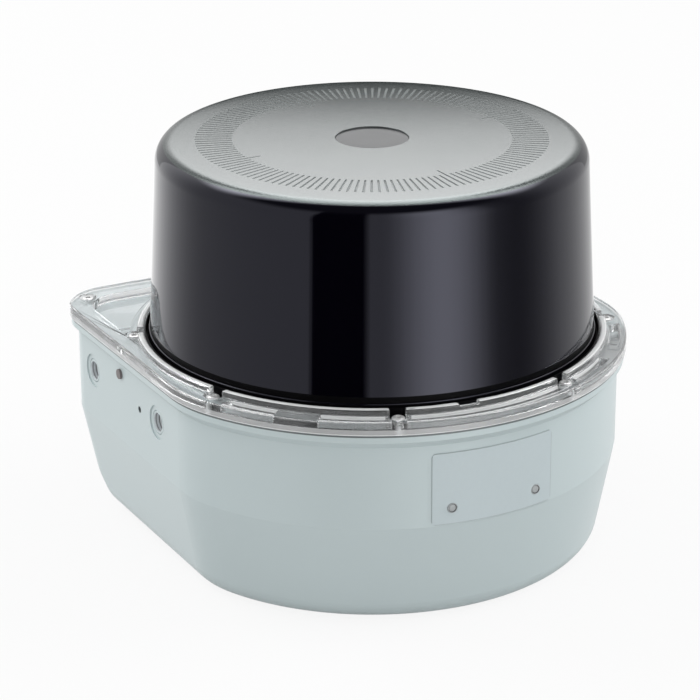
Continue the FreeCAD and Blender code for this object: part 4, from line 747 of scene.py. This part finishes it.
def makeLights():
    # the dome sags by the square of its share of the radius; heights count from the tip
    g = light
    inside, outside, depth = g["groove"]
    edgeIn, edgeDown = g["edgeIn"], g["edgeDown"]
    dome = [(g["dome"] * share, -g["sag"] * share ** 2) for share in g["domeSteps"]]
    groove = [(inside, -g["domeFoot"]), (inside, -depth), (outside, -depth), (outside, -edgeDown)]
    body = [(outside + edgeIn, -g["face"]), (g["radius"] - edgeIn, -g["face"]), (g["radius"], -edgeDown),
            (g["radius"], -g["length"]), (0, -g["length"])]
    points, quads, triangles = turnedSurface(dome + groove + body, evenTurns(g["columns"]))
    row = np.arange(len(quads)) // g["columns"] - len(dome)
    inGroove = (row >= 0) & (row < g["grooveRows"])
    # the groove's faces take the painted shade
    shadedGrooveFaces = np.append(inGroove, np.zeros(len(triangles), bool))
    for side, name in ((-1, "left"), (1, "right")):
        node = name + "_status_light"
        tip = readRows(nodes[node].data.vertices, "co")[:, 1].min() / mm
        placed = toPlace(points, (side * g["across"], tip, g["height"]), (0, -1, 0))
        piece = putMesh(name + "StatusLight", placed * mm, quads, triangles,
                        [looks["lightGuide"], looks["lightGrooveShade"]], shadedGrooveFaces)
        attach(piece, "sensor_base")
        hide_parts(node)
    print("lights made")


makeLights()


# side mounts: sleeves with a cut thread

insert = {"face": 69.3, "length": 9.0, "outer": 3.6, "edge": 0.25, "bore": 2.5, "root": 2.78, "mouth": 2.81,
          "pitch": 1.0, "threadEnds": (0.5, 0.6), "rows": (1.0, 47.0), "height": 46.3, "columns": 40,
          "paintedRows": 2}


def makeInserts():
    i = insert
    end, edge = i["length"], i["edge"]
    thread = ridges(i["threadEnds"][0], end - i["threadEnds"][1], i["bore"], i["root"], i["pitch"])
    sleeve = [(i["mouth"], end), (i["outer"] - edge, end), (i["outer"], end - edge), (i["outer"], 0),
              (i["bore"], 0)]
    shape = turnedSurface(np.vstack([sleeve, thread]), evenTurns(i["columns"]))
    inward = i["face"] - end
    copies = [toPlace(shape[0], (side * inward, along, i["height"]), (side, 0, 0))
              for side in (-1, 1) for along in i["rows"]]
    points, quads, triangles = manyOf(shape, copies)
    row = np.tile(np.arange(len(shape[1])) // i["columns"], len(copies))
    piece = putMesh("mountInserts", points * mm, quads, triangles, [looks["thread"], looks["paint"]],
                    row < i["paintedRows"])
    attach(piece, "sensor_base")
    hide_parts("mount_inserts")
    print("side mounts made,", len(copies))


makeInserts()


# rear connectors: threaded shells in the sloping wall

plug = {"pitch": 26.0, "height": 13.5, "slopeFoot": 46.0, "slope": math.radians(42.0), "columns": 72,
        "rear": 8.0, "rearLength": 13.0, "rearEdge": 0.4, "bore": 4.95, "boreEdge": 0.3,
        "flange": 9.5, "flangeThick": 2.5, "flangeEdge": 0.35, "seatEdge": 0.3,
        "threadPitch": 1.0, "toothDepth": 0.42,
        "thread": 6.0, "threadLength": 7.8, "threadEnds": (0.8, 0.6), "tipEdge": 0.25, "tipStep": 0.1,
        "collar": 8.0, "collarLength": 5.2, "collarEdge": 0.5, "socketBore": 5.5, "socketDepth": 7.0,
        "socketEnds": (0.3, 0.5), "socketMouth": 6.2}


def shellProfile(socket):
    # heights count from the rear end inside the housing
    p = plug
    rear, edge = p["rearLength"], p["flangeEdge"]
    seat = rear + p["flangeThick"]
    body = [(p["flange"] - edge, seat), (p["flange"], seat - edge), (p["flange"], rear + p["seatEdge"]),
            (p["flange"] - p["seatEdge"], rear), (p["rear"], rear), (p["rear"], p["rearEdge"]),
            (p["rear"] - p["rearEdge"], 0), (p["bore"] + p["boreEdge"], 0), (p["bore"], p["boreEdge"])]
    if socket:
        tip = seat + p["collarLength"]
        floor = tip - p["socketDepth"]
        root = p["socketBore"] + p["toothDepth"]
        low, high = p["socketEnds"]
        thread = ridges(floor + low, tip - high, p["socketBore"], root, p["threadPitch"])
        collar = [(p["socketMouth"], tip), (p["collar"] - p["collarEdge"], tip),
                  (p["collar"], tip - p["collarEdge"]), (p["collar"], seat)]
        return np.vstack([collar, body, [(p["bore"], floor), (p["socketBore"], floor)], thread])
    tip = seat + p["threadLength"]
    root = p["thread"] - p["toothDepth"]
    low, high = p["threadEnds"]
    thread = ridges(seat + low, tip - high, p["thread"], root, p["threadPitch"])[::-1]
    end = [(p["bore"] + p["tipEdge"], tip), (root - p["tipStep"], tip)]
    return np.vstack([end, thread, [(root, seat)], body, [(p["bore"], tip - p["tipEdge"])]])


def makeConnectors():
    p = plug
    out = np.array([0, math.cos(p["slope"]), -math.sin(p["slope"])])
    face = np.array([0, p["slopeFoot"] + p["height"] * math.tan(p["slope"]), p["height"]])
    for step, name in enumerate(("power", "signal", "data")):
        origin = face + np.array([(step - 1) * p["pitch"], 0, 0]) - p["rearLength"] * out
        points, quads, triangles = turnedSurface(shellProfile(name == "data"), evenTurns(p["columns"]))
        placed = toPlace(points, origin, out)
        piece = putMesh(name + "ConnectorShell", placed * mm, quads, triangles, [looks["nickel"]])
        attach(piece, "sensor_base")
        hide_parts(name + "_connector_shell")
    print("connectors made")


makeConnectors()


# studio: pale floor, white surround, soft lamps and the camera

studio = {"floorHalf": 6.0, "floorLevel": -0.0002, "floorColour": (0.7, 0.7, 0.7, 1.0), "floorShow": 0.88,
          "worldFill": 0.785, "throughMost": 1.2, "brightest": 8.5,
          # what gloss sees round the object, by degrees from the camera's line, right is positive
          "around": {"level": 0.6, "backLeft": 0.7, "backRight": 0.3, "backRise": (95.0, 150.0),
                     "seam": (160.0, 180.0), "flag": (-29.0, -4.5), "flagSoft": 4.0,
                     "strip": 36.0, "stripHalf": 32.0, "stripGain": 1.85,
                     "dip": 80.0, "dipHalf": 36.0, "dipDepth": 0.7,
                     "ceiling": 0.06, "ceilingRise": (34.0, 56.0),
                     "overhead": 8.0, "overheadEdge": (-0.5, 0.02),
                     "ground": 0.5, "groundRise": (-42.0, -26.0), "ahead": (0.7, 0.9)},
          # card behind the hood's far rim, bright above and dark low in its middle, seen only in gloss;
          # each fade starts and ends at a height and adds its gain
          "card": {"distance": 0.12, "half": 0.16, "low": 0.1, "high": 0.4,
                   "fades": ((0.141, 0.159, 2.3), (0.15, 0.21, 1.5), (0.2, 0.3, 4.7)),
                   "lowEdge": (0.045, 0.085), "highEdge": (0.075, 0.12),
                   "left": 0.8, "right": 0.6, "middle": (-0.02, 0.02)},
          # place, size and power
          "lamps": {"left": ((-0.61, 0.87, 0.75), 0.9, 7.4), "right": ((1.02, -0.37, 0.75), 0.8, 7.5),
                    "front": ((-0.55, -0.95, 0.7), 0.9, 1.6)},
          "target": (0.0, 0.0, 0.06), "distance": 0.85, "azimuth": -28.38, "elevation": 21.045,
          "focal": 147.66, "sensor": 36.0, "shift": (-0.0315, -0.0175), "clip": 0.01}
cameraTurn = math.radians(studio["azimuth"])
cameraRise = math.radians(studio["elevation"])


def seenWhite(root):
    # 1 for what the camera and clear plastic look at
    path = root.node("LightPath", out="Is Camera Ray")
    return root.maths("MINIMUM", path + path.also("Is Transmission Ray"), 1.0)


def hump(angle, middle, half):
    # 1 at the middle, smoothly 0 at half to each side
    return 1 - abs(angle - middle).ramp(0.0, half)


def roundStudio(root):
    # a pale room with one dark flag, one soft strip and a shaded side; overhead it is bright behind and
    # dark before. The second value is 1 straight ahead of the camera, where clear plastic shows white
    around = studio["around"]
    x, y, z = root.node("TexCoord", out="Generated").axes()
    turn = x.maths("ARCTAN2", x, -y) * math.degrees(1.0) - studio["azimuth"]
    angle = turn.maths("WRAP", turn, 180.0, -180.0)
    rise = z.maths("ARCSINE", z) * math.degrees(1.0)
    soft = around["flagSoft"]
    left, right = around["flag"]
    flag = angle.ramp(left - soft, left) * (1 - angle.ramp(right, right + soft))
    level = around["level"] + around["backRight"] * angle.ramp(*around["backRise"])
    level = level + (around["backLeft"] - around["backRight"]) * angle.ramp(*around["seam"])
    level = level + around["backLeft"] * (-angle).ramp(*around["backRise"])
    level = level * (1 - flag) * (1 - around["dipDepth"] * hump(angle, around["dip"], around["dipHalf"]))
    level = level + around["stripGain"] * hump(angle, around["strip"], around["stripHalf"])
    toCamera = x * math.sin(cameraTurn) - y * math.cos(cameraTurn)
    before = toCamera.ramp(*around["overheadEdge"])
    over = around["overhead"] + before * (around["ceiling"] - around["overhead"])
    level = level + rise.ramp(*around["ceilingRise"]) * (over - level)
    low = 1 - rise.ramp(*around["groundRise"])
    return level + low * (around["ground"] - level), (-toCamera).ramp(*around["ahead"])


def makeCard():
    # upright sheet across the camera's line, behind the hood: P(u, v) = far + u * right, height v
    card = studio["card"]
    far = -card["distance"] * np.array([math.sin(cameraTurn), -math.cos(cameraTurn)])
    right = card["half"] * np.array([math.cos(cameraTurn), math.sin(cameraTurn)])
    corners = [(*(far + u * right), v) for u, v in
               ((-1, card["low"]), (1, card["low"]), (1, card["high"]), (-1, card["high"]))]
    material, tree = newMaterial("gradedCard")
    place = Wire(tree).node("TexCoord", out="Object")
    x, y, height = place.axes()
    across = x * math.cos(cameraTurn) + y * math.sin(cameraTurn)
    glow = sum(gain * height.ramp(low, high) for low, high, gain in card["fades"])
    sides = card["left"] + across.ramp(*card["middle"]) * (card["right"] - card["left"])
    off = abs(across)
    high = height.ramp(*card["fades"][0][:2])
    edge = off.ramp(*card["lowEdge"]) + high * (off.ramp(*card["highEdge"]) - off.ramp(*card["lowEdge"]))
    level = glow + edge * (sides - glow)
    most = studio["brightest"]
    toSurface(place.node("Emission", {}, {"Color": level.grey(most), "Strength": most}))
    sheet = putSheet("gradedCard", corners, material)
    sheet.visible_camera = sheet.visible_diffuse = sheet.visible_transmission = sheet.visible_shadow = False


def makeFloor():
    half, level = studio["floorHalf"], studio["floorLevel"]
    corners = [(-half, -half, level), (half, -half, level), (half, half, level), (-half, half, level)]
    material, tree = newMaterial("floorWhite")
    root = Wire(tree)
    dull = root.node("BsdfDiffuse", {}, {"Color": studio["floorColour"]})
    glow = root.node("Emission", {}, {"Color": (1, 1, 1, 1), "Strength": 1.0})
    toSurface(root.node("MixShader", {}, {0: seenWhite(root) * studio["floorShow"], 1: dull, 2: glow}))
    floor = putSheet("studioFloor", corners, material)
    floor.visible_glossy = False  # gloss sees the room below the floor's line too


def makeWorld():
    world = bpy.data.worlds.new("studioWhite")
    world.use_nodes = True
    bpy.context.scene.world = world
    root = Wire(world.node_tree)
    path = root.node("LightPath", out="Is Camera Ray")
    through = path.also("Is Transmission Ray")
    gloss = path.also("Is Glossy Ray") * (1 - through)
    level, ahead = roundStudio(root)
    behind = ahead + (1 - ahead) * root.maths("MINIMUM", level, studio["throughMost"])
    shown = path + through * behind + gloss * level + (1 - path - through - gloss) * studio["worldFill"]
    most = studio["brightest"]
    sky = root.node("Background", {}, {"Color": shown.grey(most), "Strength": most})
    world.node_tree.links.new(sky.socket, world.node_tree.nodes["World Output"].inputs["Surface"])


def makeLamps():
    for name, (place, size, power) in studio["lamps"].items():
        lamp = bpy.data.lights.new(name, "AREA")
        lamp.size, lamp.energy = size, power
        holder = bpy.data.objects.new(name, lamp)
        holder.visible_glossy = False  # gloss shows the room, not the lamps
        holder.location = place
        holder.rotation_euler = (Vector(studio["target"]) - Vector(place)).to_track_quat("-Z", "Y").to_euler()
        bpy.context.scene.collection.objects.link(holder)


def makeCamera():
    level = math.cos(cameraRise)
    back = Vector((math.sin(cameraTurn) * level, -math.cos(cameraTurn) * level, math.sin(cameraRise)))
    camera = bpy.data.cameras.new("photoCamera")
    camera.sensor_width, camera.lens = studio["sensor"], studio["focal"]
    camera.shift_x, camera.shift_y = studio["shift"]
    camera.clip_start = studio["clip"]
    holder = bpy.data.objects.new("photoCamera", camera)
    holder.location = Vector(studio["target"]) + back * studio["distance"]
    holder.rotation_euler = (-back).to_track_quat("-Z", "Y").to_euler()
    bpy.context.scene.collection.objects.link(holder)
    bpy.context.scene.camera = holder


makeFloor()
makeCard()
makeWorld()
makeLamps()
makeCamera()
bpy.context.scene.view_settings.view_transform = "Standard"
print("studio made")
